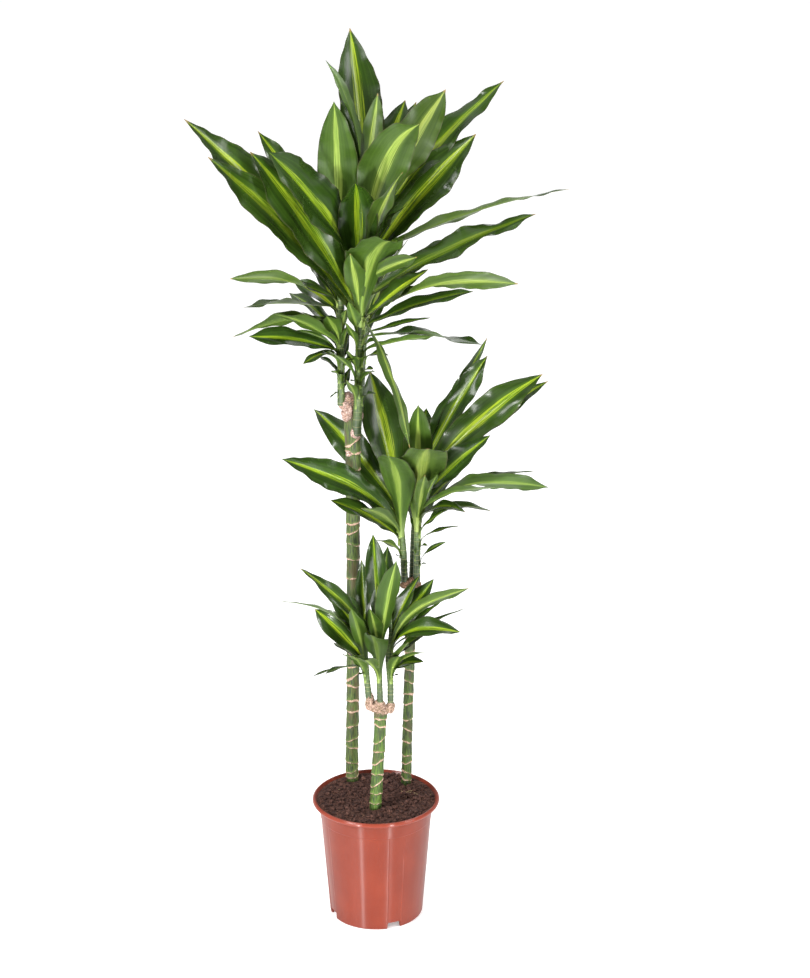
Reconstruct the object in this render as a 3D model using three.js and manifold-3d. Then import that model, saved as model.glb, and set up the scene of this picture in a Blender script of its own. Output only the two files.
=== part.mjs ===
// A corn plant with striped leaves: three canes of different heights in a round plastic nursery pot,
// and on each cane the leafy shoots that sprouted at its cut top.
//
// Millimetres, +Z up. The origin is the middle of the pot's underside, which stands on the ground.
// The photograph looks at the plant from -Y, so +X is to the right in it and +Y is away.
import * as THREE from "three";
import { mergeVertices } from "three/addons/utils/BufferGeometryUtils.js";
import Module from "manifold-3d";

const wasm = await Module();
wasm.setup();

// ---------------------------------------------------------------- driving dimensions

const GAP = 0.3;                 // clearance between a piece and what it sits in

// pot
const RIM_RADIUS = 120;          // a 24 cm pot, measured over the rolled rim
const RIM_TOP = 236;
const WALL = 2.2;
const WALL_TOP_RADIUS = 107;     // outside of the wall just under the rim
const WALL_FOOT_RADIUS = 88;
const LIP_RADIUS = 114;          // inside of the rim; it narrows to the wall's inside at LIP_FOOT
const LIP_FOOT = 220;
const STEP_HEIGHT = 197;         // a faint step runs round the wall here
const CHANNEL = { inner: 55, outer: 80, height: 12 };   // raised ring of the floor, for drainage
const NOTCH = { count: 4, first: -67, width: 27, height: 13 };   // in the foot, degrees from -Y
const POT_SIDES = 36;

// soil
const SOIL_LEVEL = 231;
const SOIL_RELIEF = 2.5;
const PLANTING_DEPTH = 88;       // how far the canes go down into the soil,
const PLANTING_LEAN = 0.82;      // and how far in towards the pot's axis their feet stand

// canes: centre line from the soil up to the cut top, and radius, at points up the cane
const CANES = {
  cane_tall: {
    line: [[-45, 78, 222], [-44, 78, 397], [-42, 78, 601], [-41, 78, 799], [-41, 78, 934], [-45, 79, 1000]],
    radius: [11.5, 11.5, 11.5, 12.5, 14, 13],
    // leaf scars: height on the cane, slant across it, direction of the slant in degrees
    scars: [[240, 2, 0], [254, 6, 30], [270, 3, 180], [301, 3, 200], [320, 5, 20], [347, 4, 0],
            [380, 3, 90], [397, 4, 270], [430, 2, 180], [450, 9, 10], [470, 2, 0], [497, 5, 150],
            [525, 3, 40], [570, 5, 200], [606, 2, 0], [646, 3, 300], [687, 2, 120], [715, 3, 180],
            [741, 7, 15], [756, 2, 0], [803, 2, 60], [860, 3, 250], [894, 2, 180], [913, 9, 0]],
  },
  cane_middle: {
    line: [[56, 65, 222], [59, 64, 335], [62, 62, 446], [65, 61, 560], [66, 60, 640]],
    radius: [9.2, 9, 9, 9.2, 10.5],
    scars: [[241, 3, 180], [255, 4, 200], [276, 2, 0], [294, 3, 90], [321, 2, 150], [346, 5, 180],
            [367, 2, 20], [400, 2, 0], [418, 3, 270], [445, 4, 190], [470, 3, 170], [506, 2, 0],
            [534, 3, 60], [555, 2, 0], [577, 2, 180], [601, 3, 180], [622, 2, 20]],
  },
  cane_short: {
    line: [[-1, -40, 222], [2, -41, 275], [5, -42, 330], [8, -44, 385], [10, -45, 432]],
    radius: [11, 10.5, 10.5, 10.5, 12],
    scars: [[242, 3, 270], [262, 3, 270], [285, 8, 10], [301, 4, 260], [330, 7, 10], [348, 4, 270],
            [375, 8, 20], [403, 3, 200], [415, 4, 270]],
  },
};
const CANE_SIDES = 8;
const SCAR = { drop: 2.5, rise: 1.2 };      // a scar is a small step in the bark, wider above

// corky callus at the cut tops: centre, half sizes
const CALLUS = {
  cane_tall: [[-50, 79, 998, 12, 12, 9], [-57, 72, 987, 10, 10, 11], [-35, 63, 934, 10, 10, 12],
              [-32, 94, 957, 12, 12, 12], [-47, 66, 893, 6, 5, 6], [-50, 66, 972, 11, 9, 20]],
  cane_middle: [[66, 62, 643, 12, 12, 10], [55, 61, 640, 10, 10, 9], [76, 61, 640, 10, 10, 9],
                [68, 74, 639, 10, 11, 10]],
  cane_short: [[12, -46, 434, 16, 14, 9], [-10, -44, 450, 9, 9, 20], [8, -49, 446, 11, 10, 11],
               [28, -44, 439, 9, 10, 14], [0, -47, 438, 10, 10, 9], [20, -46, 434, 10, 10, 9]],
};

// shoots: the cane each one grows on, the centre line of its stem, and the stem's radii
const SHOOTS = {
  shoot_tall_left: { cane: "cane_tall", radius: [6.6, 6.6, 6.4, 4],
    stem: [[-61, 70, 985], [-60, 66, 1110], [-60, 67, 1180], [-59, 69, 1235]] },
  shoot_tall_front: { cane: "cane_tall", radius: [8.2, 7.8, 7, 4.5],
    stem: [[-33, 62, 930], [-27, 53, 1060], [-25, 50, 1186], [-23, 50, 1345]] },
  shoot_tall_back: { cane: "cane_tall", radius: [6.5, 6.5, 6.5, 4.5],
    stem: [[-28, 98, 955], [-22, 106, 1080], [-14, 111, 1190], [-5, 112, 1360]] },
  shoot_middle_left: { cane: "cane_middle", radius: [6.5, 6, 6, 4],
    stem: [[54, 62, 640], [52, 60, 700], [47, 58, 755], [45, 57, 825]] },
  shoot_middle_right: { cane: "cane_middle", radius: [6.5, 6, 6, 4],
    stem: [[76, 62, 640], [77, 60, 700], [78, 58, 800], [81, 58, 870]] },
  shoot_middle_back: { cane: "cane_middle", radius: [6, 6, 6, 4],
    stem: [[68, 78, 640], [71, 90, 720], [75, 97, 790], [78, 99, 860]] },
  shoot_short_left: { cane: "cane_short", radius: [6, 5.6, 5.4, 3],
    stem: [[-11, -44, 452], [-15, -45, 490], [-18, -46, 535], [-17, -48, 590]] },
  shoot_short_centre: { cane: "cane_short", radius: [5.5, 5, 5.5, 3],
    stem: [[9, -50, 450], [8, -52, 490], [7, -50, 545], [10, -48, 600]] },
  shoot_short_right: { cane: "cane_short", radius: [5.5, 5.4, 6.2, 3],
    stem: [[28, -44, 443], [28, -45, 485], [25, -46, 535], [29, -42, 590]] },
};
const STEM_SIDES = 6;
const LEAF_ROOT = 0.45;          // where a leaf starts, from the stem's middle (0) to its skin (1)

// Leaves that the photograph shows, each in millimetres and degrees:
// [height on the stem where it leaves it, tip x, tip y, tip z, width,
//  lift: how much steeper it starts than the straight line to the tip, in percent,
//  droop: how much it bends over at the tip, in percent,
//  roll about its rib (positive lifts the left edge, seen from the stem), further twist to the tip]
const LEAVES = {
  shoot_tall_left: [
    [1225, -66, -35, 1557, 74, 5, 25, 0, 0],
    [1215, -206, 135, 1472, 50, 10, 20, -35, 0],
    [1180, -252, 0, 1238, 38, 25, 30, -31, 110],
    [1160, -145, 110, 1205, 36, 15, 20, -30, 0],
    [1165, -236, 95, 1160, 42, 15, 20, 10, 0],
    [1140, -247, -30, 1141, 40, 35, 25, 30, 20],
    [1085, -222, 20, 1128, 46, 25, 12, -35, 0],
    [1100, -173, -20, 1180, 40, 15, 15, 30, 0],
    [1085, -127, 30, 1074, 20, 35, 30, -20, 0],
    [1100, -130, 60, 1161, 12, 30, 40, 0, 60],
    [1095, -97, 110, 1140, 44, 20, 20, -20, 0],
    [1110, -84, 20, 1165, 32, 12, 10, 30, 0],
    [1065, -95, 25, 1095, 18, 30, 30, 0, 0],
    [1045, -100, 90, 1070, 16, 30, 20, 0, 0],
    [1060, -46, 84, 1118, 20, 10, 5, 0, 0],
    [1005, -44, 90, 1050, 18, 20, 10, 0, 0],
    [1120, -50, 40, 1172, 16, 12, 5, 0, 0],
    [1082, -47, 52, 1140, 20, 12, 5, 10, 0],
  ],
  shoot_tall_front: [
    [1225, -30, -50, 1420, 72, 8, 58, 175, 10],
    [1150, 42, -165, 1345, 98, 55, 62, 0, 0],
    [1160, 63, -130, 970, 29, 50, 40, 140, 20],
    [1150, -322, -20, 1524, 78, 14, 14, -62, 10],
    [1160, -281, -50, 1465, 72, 12, 12, -62, 0],
    [1165, -208, -65, 1477, 92, 10, 12, -74, 0],
    [1245, -174, -105, 1485, 96, 12, 12, -70, 0],
    [1185, 285, 60, 1340, 56, 15, 12, 40, -20],
    [1150, 250, -80, 1250, 46, 35, 35, 30, -115],
    [1135, 175, 20, 1210, 36, 12, 18, 25, 0],
    [1145, 95, 0, 1255, 48, 10, 5, 35, 0],
    [1120, 100, 10, 1165, 16, 10, 10, 20, 0],
    [1115, 190, -60, 1135, 46, 25, 15, -10, 0],
    [1090, 105, -20, 1140, 30, 15, 5, -30, 0],
    [1295, 80, -60, 1524, 88, 10, 56, -35, 0],
    [1330, 8, 10, 1563, 44, 5, 0, -60, 0],
    [1215, 75, -50, 1290, 34, 20, 10, -50, 0],
    [1220, 51, -60, 1441, 46, 10, 30, 10, 0],
    [1165, -40, -45, 1295, 40, 12, 5, 0, 0],
    [1075, 25, -5, 1100, 22, 30, 30, 10, 0],
    [1095, -52, 20, 1154, 20, 15, 10, 0, 0],
    [1120, -45, 25, 1190, 24, 12, 5, 20, 0],
    [1050, -48, 20, 1102, 22, 15, 10, 0, 0],
    [995, -50, 24, 1046, 20, 20, 15, 0, 0],
    [1040, -82, 10, 1104, 20, 20, 20, 10, 0],
    [1035, 0, -10, 1073, 18, 20, 10, 0, 0],
  ],
  shoot_tall_back: [
    [1325, -43, 190, 1645, 86, 4, 3, 0, 0],
    [1325, -84, 120, 1600, 28, 5, 40, 8, 50],
    [1345, 55, 200, 1515, 60, 10, 5, 20, 0],
    [1315, 125, 60, 1560, 82, 10, 5, -62, 0],
    [1290, 230, 170, 1555, 54, 15, 15, 45, -10],
    [1240, 180, 120, 1470, 88, 10, 6, 48, 0],
    [1255, 345, 60, 1385, 34, 12, 15, -60, 50],
    [1255, 60, 60, 1360, 40, 5, 5, 30, 0],
    [1150, 60, 75, 1290, 44, 10, 8, 20, 0],
  ],
  shoot_middle_left: [
    [755, -167, 10, 902, 62, 40, 18, -45, 0],
    [785, -115, 200, 935, 58, 15, 20, -40, 0],
    [730, -81, 20, 820, 42, 20, 15, -30, 0],
    [745, -24, -30, 822, 28, 20, 25, 40, 0],
    [775, -16, 110, 805, 30, 10, 10, -40, 0],
    [705, 3, 40, 735, 18, 20, 20, 40, 0],
    [748, 23, -100, 945, 72, 42, 50, -12, 0],
    [805, -10, 152, 1024, 80, 6, 5, -15, 0],
  ],
  shoot_middle_right: [
    [795, 78, -30, 1016, 54, 5, 2, 0, 0],
    [758, 95, -130, 968, 94, 44, 42, 0, 0],
    [845, 304, 90, 1037, 68, 12, 15, 50, 0],
    [805, 208, 30, 940, 54, 10, 8, 45, 0],
    [795, 307, -90, 883, 46, 35, 30, 0, -80],
    [795, 286, -40, 896, 28, 25, 20, 0, -40],
    [780, 222, -120, 894, 26, 35, 15, -30, 0],
    [775, 211, 30, 795, 26, 30, 40, 10, 0],
    [770, 163, -20, 811, 28, 40, 60, 20, 0],
    [745, 140, 0, 815, 32, 10, 5, 30, 0],
    [730, 155, 20, 770, 14, 15, 15, 10, 0],
    [770, 90, -60, 895, 26, 8, 5, 0, 0],
    [775, 112, -40, 890, 28, 8, 5, 15, 0],
    [738, 60, 74, 812, 28, 12, 6, -10, 0],
  ],
  shoot_middle_back: [
    [835, 205, 130, 1060, 54, 8, 8, 40, 0],
    [830, 205, 160, 1085, 30, 10, 5, 80, 0],
    [830, 316, 125, 1013, 46, 12, 15, 50, 0],
    [840, 125, 140, 951, 26, 10, 5, 40, 0],
  ],
  shoot_short_left: [
    [545, -171, -100, 671, 26, 62, 48, -30, 60],
    [535, -110, -10, 619, 48, 10, 10, -45, 0],
    [525, -42, -110, 661, 28, 20, 15, 20, 0],
    [565, -82, -10, 648, 36, 15, 20, -30, 0],
    [580, -25, 30, 700, 28, 5, 5, -10, 0],
    [520, -115, -70, 510, 11, 25, 30, 10, 0],
    [520, -90, -90, 525, 18, 25, 30, 10, 0],
    [515, -55, -120, 575, 32, 25, 15, 10, 0],
    [502, -40, -90, 560, 26, 25, 20, 10, 0],
  ],
  shoot_short_centre: [
    [585, -4, 40, 746, 42, 6, 4, 0, 0],
    [590, 23, 50, 719, 34, 6, 4, 20, 0],
    [550, 39, -100, 748, 46, 10, 4, -10, 0],
    [510, -6, -130, 618, 44, 42, 44, 0, 0],
    [555, -8, -85, 650, 30, 10, 5, 0, 0],
    [560, -133, -75, 724, 34, 20, 16, -40, 0],
    [504, -34, -172, 592, 34, 25, 20, 0, 0],
  ],
  shoot_short_right: [
    [560, 107, 0, 674, 42, 25, 10, 30, 0],
    [560, 169, -100, 696, 34, 60, 28, -50, 0],
    [560, 154, -90, 607, 46, 70, 35, 25, 0],
    [555, 165, -20, 625, 16, 15, 15, 0, 0],
    [535, 104, -20, 587, 18, 5, 10, 10, 0],
    [515, 92, -120, 581, 28, 25, 15, -10, 0],
    [508, 88, -84, 546, 32, 35, 30, 20, 0],
    [570, 53, 10, 632, 36, 6, 5, 20, 0],
    [515, 60, -110, 595, 28, 15, 5, 10, 0],
    [500, 44, -95, 562, 26, 20, 15, -10, 0],
  ],
};

// Leaves on the side away from the camera follow a rule: they climb the stem between two heights
// and fan out between two directions (degrees from +X towards +Y), short and flat below, long and
// steep above. reach is the longest of them.
const UNSEEN = {
  shoot_tall_left: { count: 4, heights: [1110, 1205], azimuths: [100, 155], reach: 190, width: 50 },
  shoot_tall_back: { count: 7, heights: [1090, 1290], azimuths: [20, 110], reach: 275, width: 64 },
  shoot_middle_left: { count: 2, heights: [735, 790], azimuths: [118, 140], reach: 190, width: 48 },
  shoot_middle_back: { count: 6, heights: [735, 830], azimuths: [25, 98], reach: 150, width: 46 },
  shoot_short_left: { count: 3, heights: [520, 575], azimuths: [120, 160], reach: 100, width: 32 },
  shoot_short_centre: { count: 3, heights: [530, 585], azimuths: [78, 104], reach: 115, width: 32 },
  shoot_short_right: { count: 3, heights: [530, 585], azimuths: [5, 42], reach: 125, width: 34 },
};

const BLADE = { thick: 0.9, fold: 22, wave: 5.5, segment: 60 };   // segment: length of one facet

// ---------------------------------------------------------------- helpers

const UP = new THREE.Vector3(0, 0, 1);
const radians = THREE.MathUtils.degToRad;
const smooth = THREE.MathUtils.smoothstep;
const vector = ([x, y, z]) => new THREE.Vector3(x, y, z);

// A repeatable draw between 0 and 1 for the number n.
function draw(n) {
  const s = Math.sin(n * 12.9898 + 4.1) * 43758.5453;
  return s - Math.floor(s);
}

// A closed triangle mesh as a solid that can be joined and cut.
function solid(points, faces) {
  return new wasm.Manifold(new wasm.Mesh({
    numProp: 3,
    vertProperties: new Float32Array(points.flatMap((p) => [p.x, p.y, p.z])),
    triVerts: new Uint32Array(faces.flat()),
  }));
}

function solidOf(geometry) {
  geometry.deleteAttribute("normal");
  geometry.deleteAttribute("uv");
  const merged = mergeVertices(geometry, 1e-4);
  const at = merged.getAttribute("position");
  const points = [];
  for (let i = 0; i < at.count; i++) points.push(new THREE.Vector3().fromBufferAttribute(at, i));
  const faces = [];
  for (let i = 0; i < merged.index.count; i += 3) {
    const face = [0, 1, 2].map((k) => merged.index.getX(i + k));
    if (new Set(face).size === 3) faces.push(face);
  }
  return solid(points, faces);
}

// Solids joined into one body: its outer skin, without hollows closed in between them or loose scraps.
function fused(solids) {
  const shells = wasm.Manifold.union(solids).decompose();
  return shells.reduce((largest, shell) => (shell.volume() > largest.volume() ? shell : largest));
}

// A named mesh of a body, with a material of its own.
function meshOf(name, body, { color, roughness }) {
  const { vertProperties, triVerts } = body.getMesh();
  const geometry = new THREE.BufferGeometry();
  geometry.setAttribute("position", new THREE.BufferAttribute(vertProperties, 3));
  geometry.setIndex(new THREE.BufferAttribute(triVerts, 1));
  const mesh = new THREE.Mesh(geometry, new THREE.MeshStandardMaterial({ color, roughness, metalness: 0 }));
  mesh.name = name;
  return mesh;
}

// Rings of points joined into a closed skin; the two end rings are capped by a fan from their middle.
function skin(rings) {
  const sides = rings[0].length;
  const points = rings.flat();
  const faces = [];
  for (let i = 0; i + 1 < rings.length; i++) {
    for (let k = 0; k < sides; k++) {
      const a = i * sides + k, b = i * sides + (k + 1) % sides;
      faces.push([a, b, b + sides], [a, b + sides, a + sides]);
    }
  }
  const middle = (ring) => ring.reduce((sum, p) => sum.add(p), new THREE.Vector3()).divideScalar(sides);
  const last = (rings.length - 1) * sides;
  points.push(middle(rings[0]), middle(rings[rings.length - 1]));
  for (let k = 0; k < sides; k++) {
    const next = (k + 1) % sides;
    faces.push([points.length - 2, next, k], [points.length - 1, last + k, last + next]);
  }
  return solid(points, faces);
}

// The point of a polyline at height z, with the value of a list of numbers that goes with it.
function lineAt(line, values, z) {
  let i = 0;
  while (i < line.length - 2 && z > line[i + 1][2]) i++;
  const t = (z - line[i][2]) / (line[i + 1][2] - line[i][2]);
  const inside = THREE.MathUtils.clamp(t, 0, 1);
  return {
    point: vector(line[i]).lerp(vector(line[i + 1]), t),
    value: values[i] + (values[i + 1] - values[i]) * inside,
  };
}

// A level ring round a polyline; rise is added to the radius, and slant tips the ring.
function ringAt(line, radii, z, sides, rise = 0, slant = 0, azimuth = 0) {
  const ring = [];
  for (let k = 0; k < sides; k++) {
    const angle = 2 * Math.PI * k / sides;
    const height = z + slant * Math.cos(angle - radians(azimuth));
    const { point, value } = lineAt(line, radii, height);
    const radius = value + rise;
    ring.push(point.add(new THREE.Vector3(radius * Math.cos(angle), radius * Math.sin(angle), 0)));
  }
  return ring;
}

// A tube up a polyline, thicker by grow all over.
function tube(line, radii, sides, grow = 0) {
  const bottom = line[0][2] - grow, top = line[line.length - 1][2] + grow;
  const heights = [bottom, ...line.slice(1, -1).map((p) => p[2]), top];
  return skin(heights.map((z) => ringAt(line, radii, z, sides, grow)));
}

// ---------------------------------------------------------------- pot and soil

function pot() {
  const step = WALL_FOOT_RADIUS + (WALL_TOP_RADIUS - WALL_FOOT_RADIUS) * STEP_HEIGHT / (RIM_TOP - 10);
  const { inner, outer, height } = CHANNEL;
  const profile = [
    [0, 0], [inner, 0], [inner + 2, height], [outer, height], [WALL_FOOT_RADIUS - 5, 0],
    [WALL_FOOT_RADIUS - 1.5, 0], [WALL_FOOT_RADIUS, 2], [step - 0.8, STEP_HEIGHT], [step, STEP_HEIGHT + 1],
    [WALL_TOP_RADIUS, RIM_TOP - 10], [RIM_RADIUS - 3, RIM_TOP - 9], [RIM_RADIUS, RIM_TOP - 5],
    [RIM_RADIUS - 2.5, RIM_TOP - 1], [RIM_RADIUS - 5.5, RIM_TOP], [LIP_RADIUS, RIM_TOP - 2],
    [WALL_TOP_RADIUS - WALL, LIP_FOOT],
    [WALL_FOOT_RADIUS - WALL, height + WALL], [inner + 2 - WALL, height + WALL],
    [inner - WALL, WALL], [0, WALL],
  ];
  const shape = profile.map(([r, z]) => new THREE.Vector2(r, z));
  const shell = solidOf(new THREE.LatheGeometry(shape, POT_SIDES).rotateX(Math.PI / 2));
  const cutters = [];
  for (let i = 0; i < NOTCH.count; i++) {
    const angle = radians(NOTCH.first + 360 / NOTCH.count * i - 90);
    const box = new THREE.BoxGeometry(24, NOTCH.width, 2 * NOTCH.height);
    box.translate(WALL_FOOT_RADIUS, 0, 0).rotateZ(angle);
    cutters.push(solidOf(box));
  }
  return shell.subtract(wasm.Manifold.union(cutters));
}

// The soil fills the pot down to its floor; its top is slightly uneven.
function soil(holes) {
  const { inner, height } = CHANNEL;
  const wallTop = WALL_TOP_RADIUS - WALL;
  const inLip = (SOIL_LEVEL - LIP_FOOT) / (RIM_TOP - 2 - LIP_FOOT);
  const floor = height + WALL + GAP;
  const profile = [[0, WALL + GAP], [inner - WALL - GAP, WALL + GAP], [inner + 2 - WALL - GAP, floor],
    [WALL_FOOT_RADIUS - WALL - GAP, floor], [wallTop - GAP, LIP_FOOT],
    [wallTop + (LIP_RADIUS - wallTop) * inLip - GAP, SOIL_LEVEL]];
  for (const r of [80, 52, 25, 0]) profile.push([r, SOIL_LEVEL + 0.5]);
  const shape = profile.map(([r, z]) => new THREE.Vector2(r, z));
  const geometry = new THREE.LatheGeometry(shape, POT_SIDES).rotateX(Math.PI / 2);
  const at = geometry.getAttribute("position");
  for (let i = 0; i < at.count; i++) {
    if (at.getZ(i) < SOIL_LEVEL + 0.2) continue;
    const x = at.getX(i), y = at.getY(i);
    const bumps = Math.sin(x / 11) * Math.cos(y / 9) + 0.6 * Math.sin((x + 2 * y) / 17);
    at.setZ(i, SOIL_LEVEL + 0.5 + SOIL_RELIEF * bumps / 1.6);
  }
  return solidOf(geometry).subtract(wasm.Manifold.union(holes));
}

// ---------------------------------------------------------------- canes

function caneLine({ line, radius }) {
  const [x, y, z] = line[0];
  const foot = [x * PLANTING_LEAN, y * PLANTING_LEAN, z - PLANTING_DEPTH];
  return { line: [foot, ...line], radii: [radius[0], ...radius] };
}

// The bark's tube: it steps out at each leaf scar, which runs round it at a slant, and narrows
// again to the next one.
function bark(cane) {
  const { line, radii } = caneLine(cane);
  const top = line[line.length - 1][2];
  const rings = [line[0], line[1]].map(([, , z]) => ringAt(line, radii, z, CANE_SIDES));
  cane.scars.forEach(([z, slant, azimuth]) => {
    rings.push(ringAt(line, radii, z - SCAR.drop, CANE_SIDES, 0, slant, azimuth));
    rings.push(ringAt(line, radii, z, CANE_SIDES, SCAR.rise, slant, azimuth));
  });
  rings.push(ringAt(line, radii, top, CANE_SIDES));
  return skin(rings);
}

// One corky lump: a ball pulled to size, with an uneven skin.
function lump([x, y, z, a, b, c], seed) {
  const round = new THREE.IcosahedronGeometry(1, 1).deleteAttribute("normal").deleteAttribute("uv");
  const ball = mergeVertices(round, 1e-4);
  const at = ball.getAttribute("position");
  for (let i = 0; i < at.count; i++) {
    const uneven = 0.88 + 0.24 * draw(seed + i);
    at.setXYZ(i, x + a * uneven * at.getX(i), y + b * uneven * at.getY(i), z + c * uneven * at.getZ(i));
  }
  return solidOf(ball);
}

function cane(name) {
  const lumps = CALLUS[name].map((row, i) => lump(row, 100 * (i + 1) + row[2]));
  const sockets = Object.values(SHOOTS).filter((shoot) => shoot.cane === name)
    .map(({ stem, radius }) => tube(stem, radius, STEM_SIDES, GAP));
  return fused([fused([bark(CANES[name]), ...lumps]).subtract(wasm.Manifold.union(sockets))]);
}

function caneHole(cane) {
  const { line, radii } = caneLine(cane);
  const above = lineAt(line, radii, line[1][2] + 30).point.toArray();
  return tube([line[0], line[1], above], [radii[0], radii[1], radii[1]], CANE_SIDES, GAP);
}

// ---------------------------------------------------------------- leaves

// The rib of a leaf is a cubic curve. It lies in the upright plane through its two ends, and lift
// and droop bend it there.
function rib(base, tip, lift, droop) {
  const chord = tip.clone().sub(base);
  const length = chord.length();
  const out = new THREE.Vector3(chord.x, chord.y, 0).normalize();
  const side = UP.clone().cross(out);                      // points to the leaf's left
  const above = chord.clone().cross(side).normalize();
  const start = chord.clone().addScaledVector(above, lift / 100 * length).multiplyScalar(0.35);
  const end = chord.clone().addScaledVector(above, -droop / 100 * length).multiplyScalar(0.35);
  const curve = new THREE.CubicBezierCurve3(base, base.clone().add(start), tip.clone().sub(end), tip);
  return { curve, side, length };
}

// Half the width at t along the leaf, as a share of the widest: a narrow clasping base, broadest
// past the middle, and a point.
function outline(t) {
  const base = 0.2 + 0.8 * smooth(t, -0.04, 0.54);
  const past = Math.max(t - 0.54, 0) / 0.46;
  return base * (1 - past ** 2.3);
}

// A leaf blade: three points across (edge, rib, edge), folded along the rib, with wavy edges.
function blade(base, [, x, y, z, width, lift, droop, roll, twist], seed) {
  const { curve, side, length } = rib(base, new THREE.Vector3(x, y, z), lift, droop);
  const segments = THREE.MathUtils.clamp(Math.round(length / BLADE.segment), 3, width < 32 ? 4 : 6);
  const waves = BLADE.wave * (0.6 + 0.8 * draw(seed)) * Math.min(width / 55, 1);
  const points = [];
  for (let i = 0; i <= segments; i++) {
    const t = i / segments;
    const along = curve.getTangent(t);
    const flat = side.clone().addScaledVector(along, -side.dot(along)).normalize();
    const up = along.clone().cross(flat);
    const turn = radians(roll + twist * smooth(t, 0.1, 0.9));
    const across = flat.clone().multiplyScalar(Math.cos(turn)).addScaledVector(up, Math.sin(turn));
    const normal = up.clone().multiplyScalar(Math.cos(turn)).addScaledVector(flat, -Math.sin(turn));
    const fold = radians(BLADE.fold) * (1.25 - 0.75 * smooth(t, 0.1, 0.8));
    const half = Math.max(width / 2 * outline(t), 0.8);
    const ripple = waves * smooth(t, 0.12, 0.35) * (1 - smooth(t, 0.85, 1));
    for (const q of [-1, 0, 1]) {
      const phase = Math.PI * (segments * t + 0.5) + q * (0.6 + draw(seed + 7));
      const lifted = Math.abs(q) * (half * Math.sin(fold) + ripple * Math.sin(phase));
      const top = curve.getPoint(t).addScaledVector(across, q * half * Math.cos(fold))
        .addScaledVector(normal, lifted);
      points.push(top.clone().addScaledVector(normal, BLADE.thick / 2));
      points.push(top.addScaledVector(normal, -BLADE.thick / 2));
    }
  }
  // each station holds right, rib and left, each as an upper and a lower point
  const faces = [];
  for (let i = 0; i < segments; i++) {
    const a = 6 * i, b = a + 6;
    for (const k of [0, 2]) {
      faces.push([a + k, b + k, b + k + 2], [a + k, b + k + 2, a + k + 2]);
      faces.push([a + k + 1, b + k + 3, b + k + 1], [a + k + 1, a + k + 3, b + k + 3]);
    }
    faces.push([a, a + 1, b + 1], [a, b + 1, b]);
    faces.push([a + 4, b + 5, a + 5], [a + 4, b + 4, b + 5]);
  }
  const end = 6 * segments;
  faces.push([0, 2, 3], [0, 3, 1], [2, 4, 5], [2, 5, 3]);
  for (const k of [end, end + 2]) faces.push([k, k + 3, k + 2], [k, k + 1, k + 3]);
  return solid(points, faces);
}

// The rows of the unseen leaves of one shoot, in the same form as those in LEAVES.
function unseenRows(name) {
  const rule = UNSEEN[name];
  if (!rule) return [];
  const { stem, radius } = SHOOTS[name];
  const rows = [];
  for (let i = 0; i < rule.count; i++) {
    const seed = rule.reach + 31 * i;
    const up = rule.count > 1 ? i / (rule.count - 1) : 1;
    const height = rule.heights[0] + (rule.heights[1] - rule.heights[0]) * up;
    // a golden-ratio walk spreads neighbours on the stem to different directions
    const azimuth = rule.azimuths[0] + (rule.azimuths[1] - rule.azimuths[0]) * ((0.618 * (i + 1)) % 1);
    const rise = 18 + 38 * up + 8 * draw(seed);
    const length = rule.reach * (0.62 + 0.38 * Math.sin(Math.PI * (0.15 + 0.55 * up)));
    const flat = length * Math.cos(radians(rise));
    const start = lineAt(stem, radius, height).point;
    const tip = [start.x + flat * Math.cos(radians(azimuth)), start.y + flat * Math.sin(radians(azimuth)),
      height + length * Math.sin(radians(rise))];
    rows.push([height, ...tip, rule.width * (0.7 + 0.3 * up), 22 - 12 * up, 25 - 15 * up,
      -10 + 20 * draw(seed + 3), 0]);
  }
  return rows;
}

// A leaf starts inside the stem, on the side that it leaves by.
function leafBase({ stem, radius }, [height, x, y]) {
  const { point, value } = lineAt(stem, radius, height);
  const out = new THREE.Vector3(x - point.x, y - point.y, 0).normalize();
  return point.addScaledVector(out, value * LEAF_ROOT);
}

// A shoot is its stem with all its leaves.
function shoot(name) {
  const { stem, radius } = SHOOTS[name];
  const rows = [...LEAVES[name], ...unseenRows(name)];
  const blades = rows.map((row, i) => blade(leafBase(SHOOTS[name], row), row, row[0] + 13 * i));
  return fused([tube(stem, radius, STEM_SIDES), ...blades]);
}

// ---------------------------------------------------------------- the plant

const FINISH = {
  terracottaPlastic: { color: 0xb9583f, roughness: 0.42 },
  earth: { color: 0x43302a, roughness: 0.95 },
  bark: { color: 0x6a8440, roughness: 0.6 },
  leaf: { color: 0x4c7a2c, roughness: 0.4 },
};

const plant = new THREE.Group();
plant.add(meshOf("pot", pot(), FINISH.terracottaPlastic));
plant.add(meshOf("soil", soil(Object.values(CANES).map(caneHole)), FINISH.earth));
for (const name of Object.keys(CANES)) plant.add(meshOf(name, cane(name), FINISH.bark));
for (const name of Object.keys(SHOOTS)) plant.add(meshOf(name, shoot(name), FINISH.leaf));

export default plant;
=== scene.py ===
# %% [markdown]
# # A potted corn plant
# Three bare canes of different heights stand in a round plastic pot, and each carries leafy shoots
# with long striped leaves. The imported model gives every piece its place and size, so this script
# only has to give each one its fine form and its finish. It works in metres, with Z up, the pot's
# underside on the floor and the side that the photograph shows towards -Y.

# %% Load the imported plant
import math
import random

import bmesh
import bpy
import numpy as np
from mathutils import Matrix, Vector, noise


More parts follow.
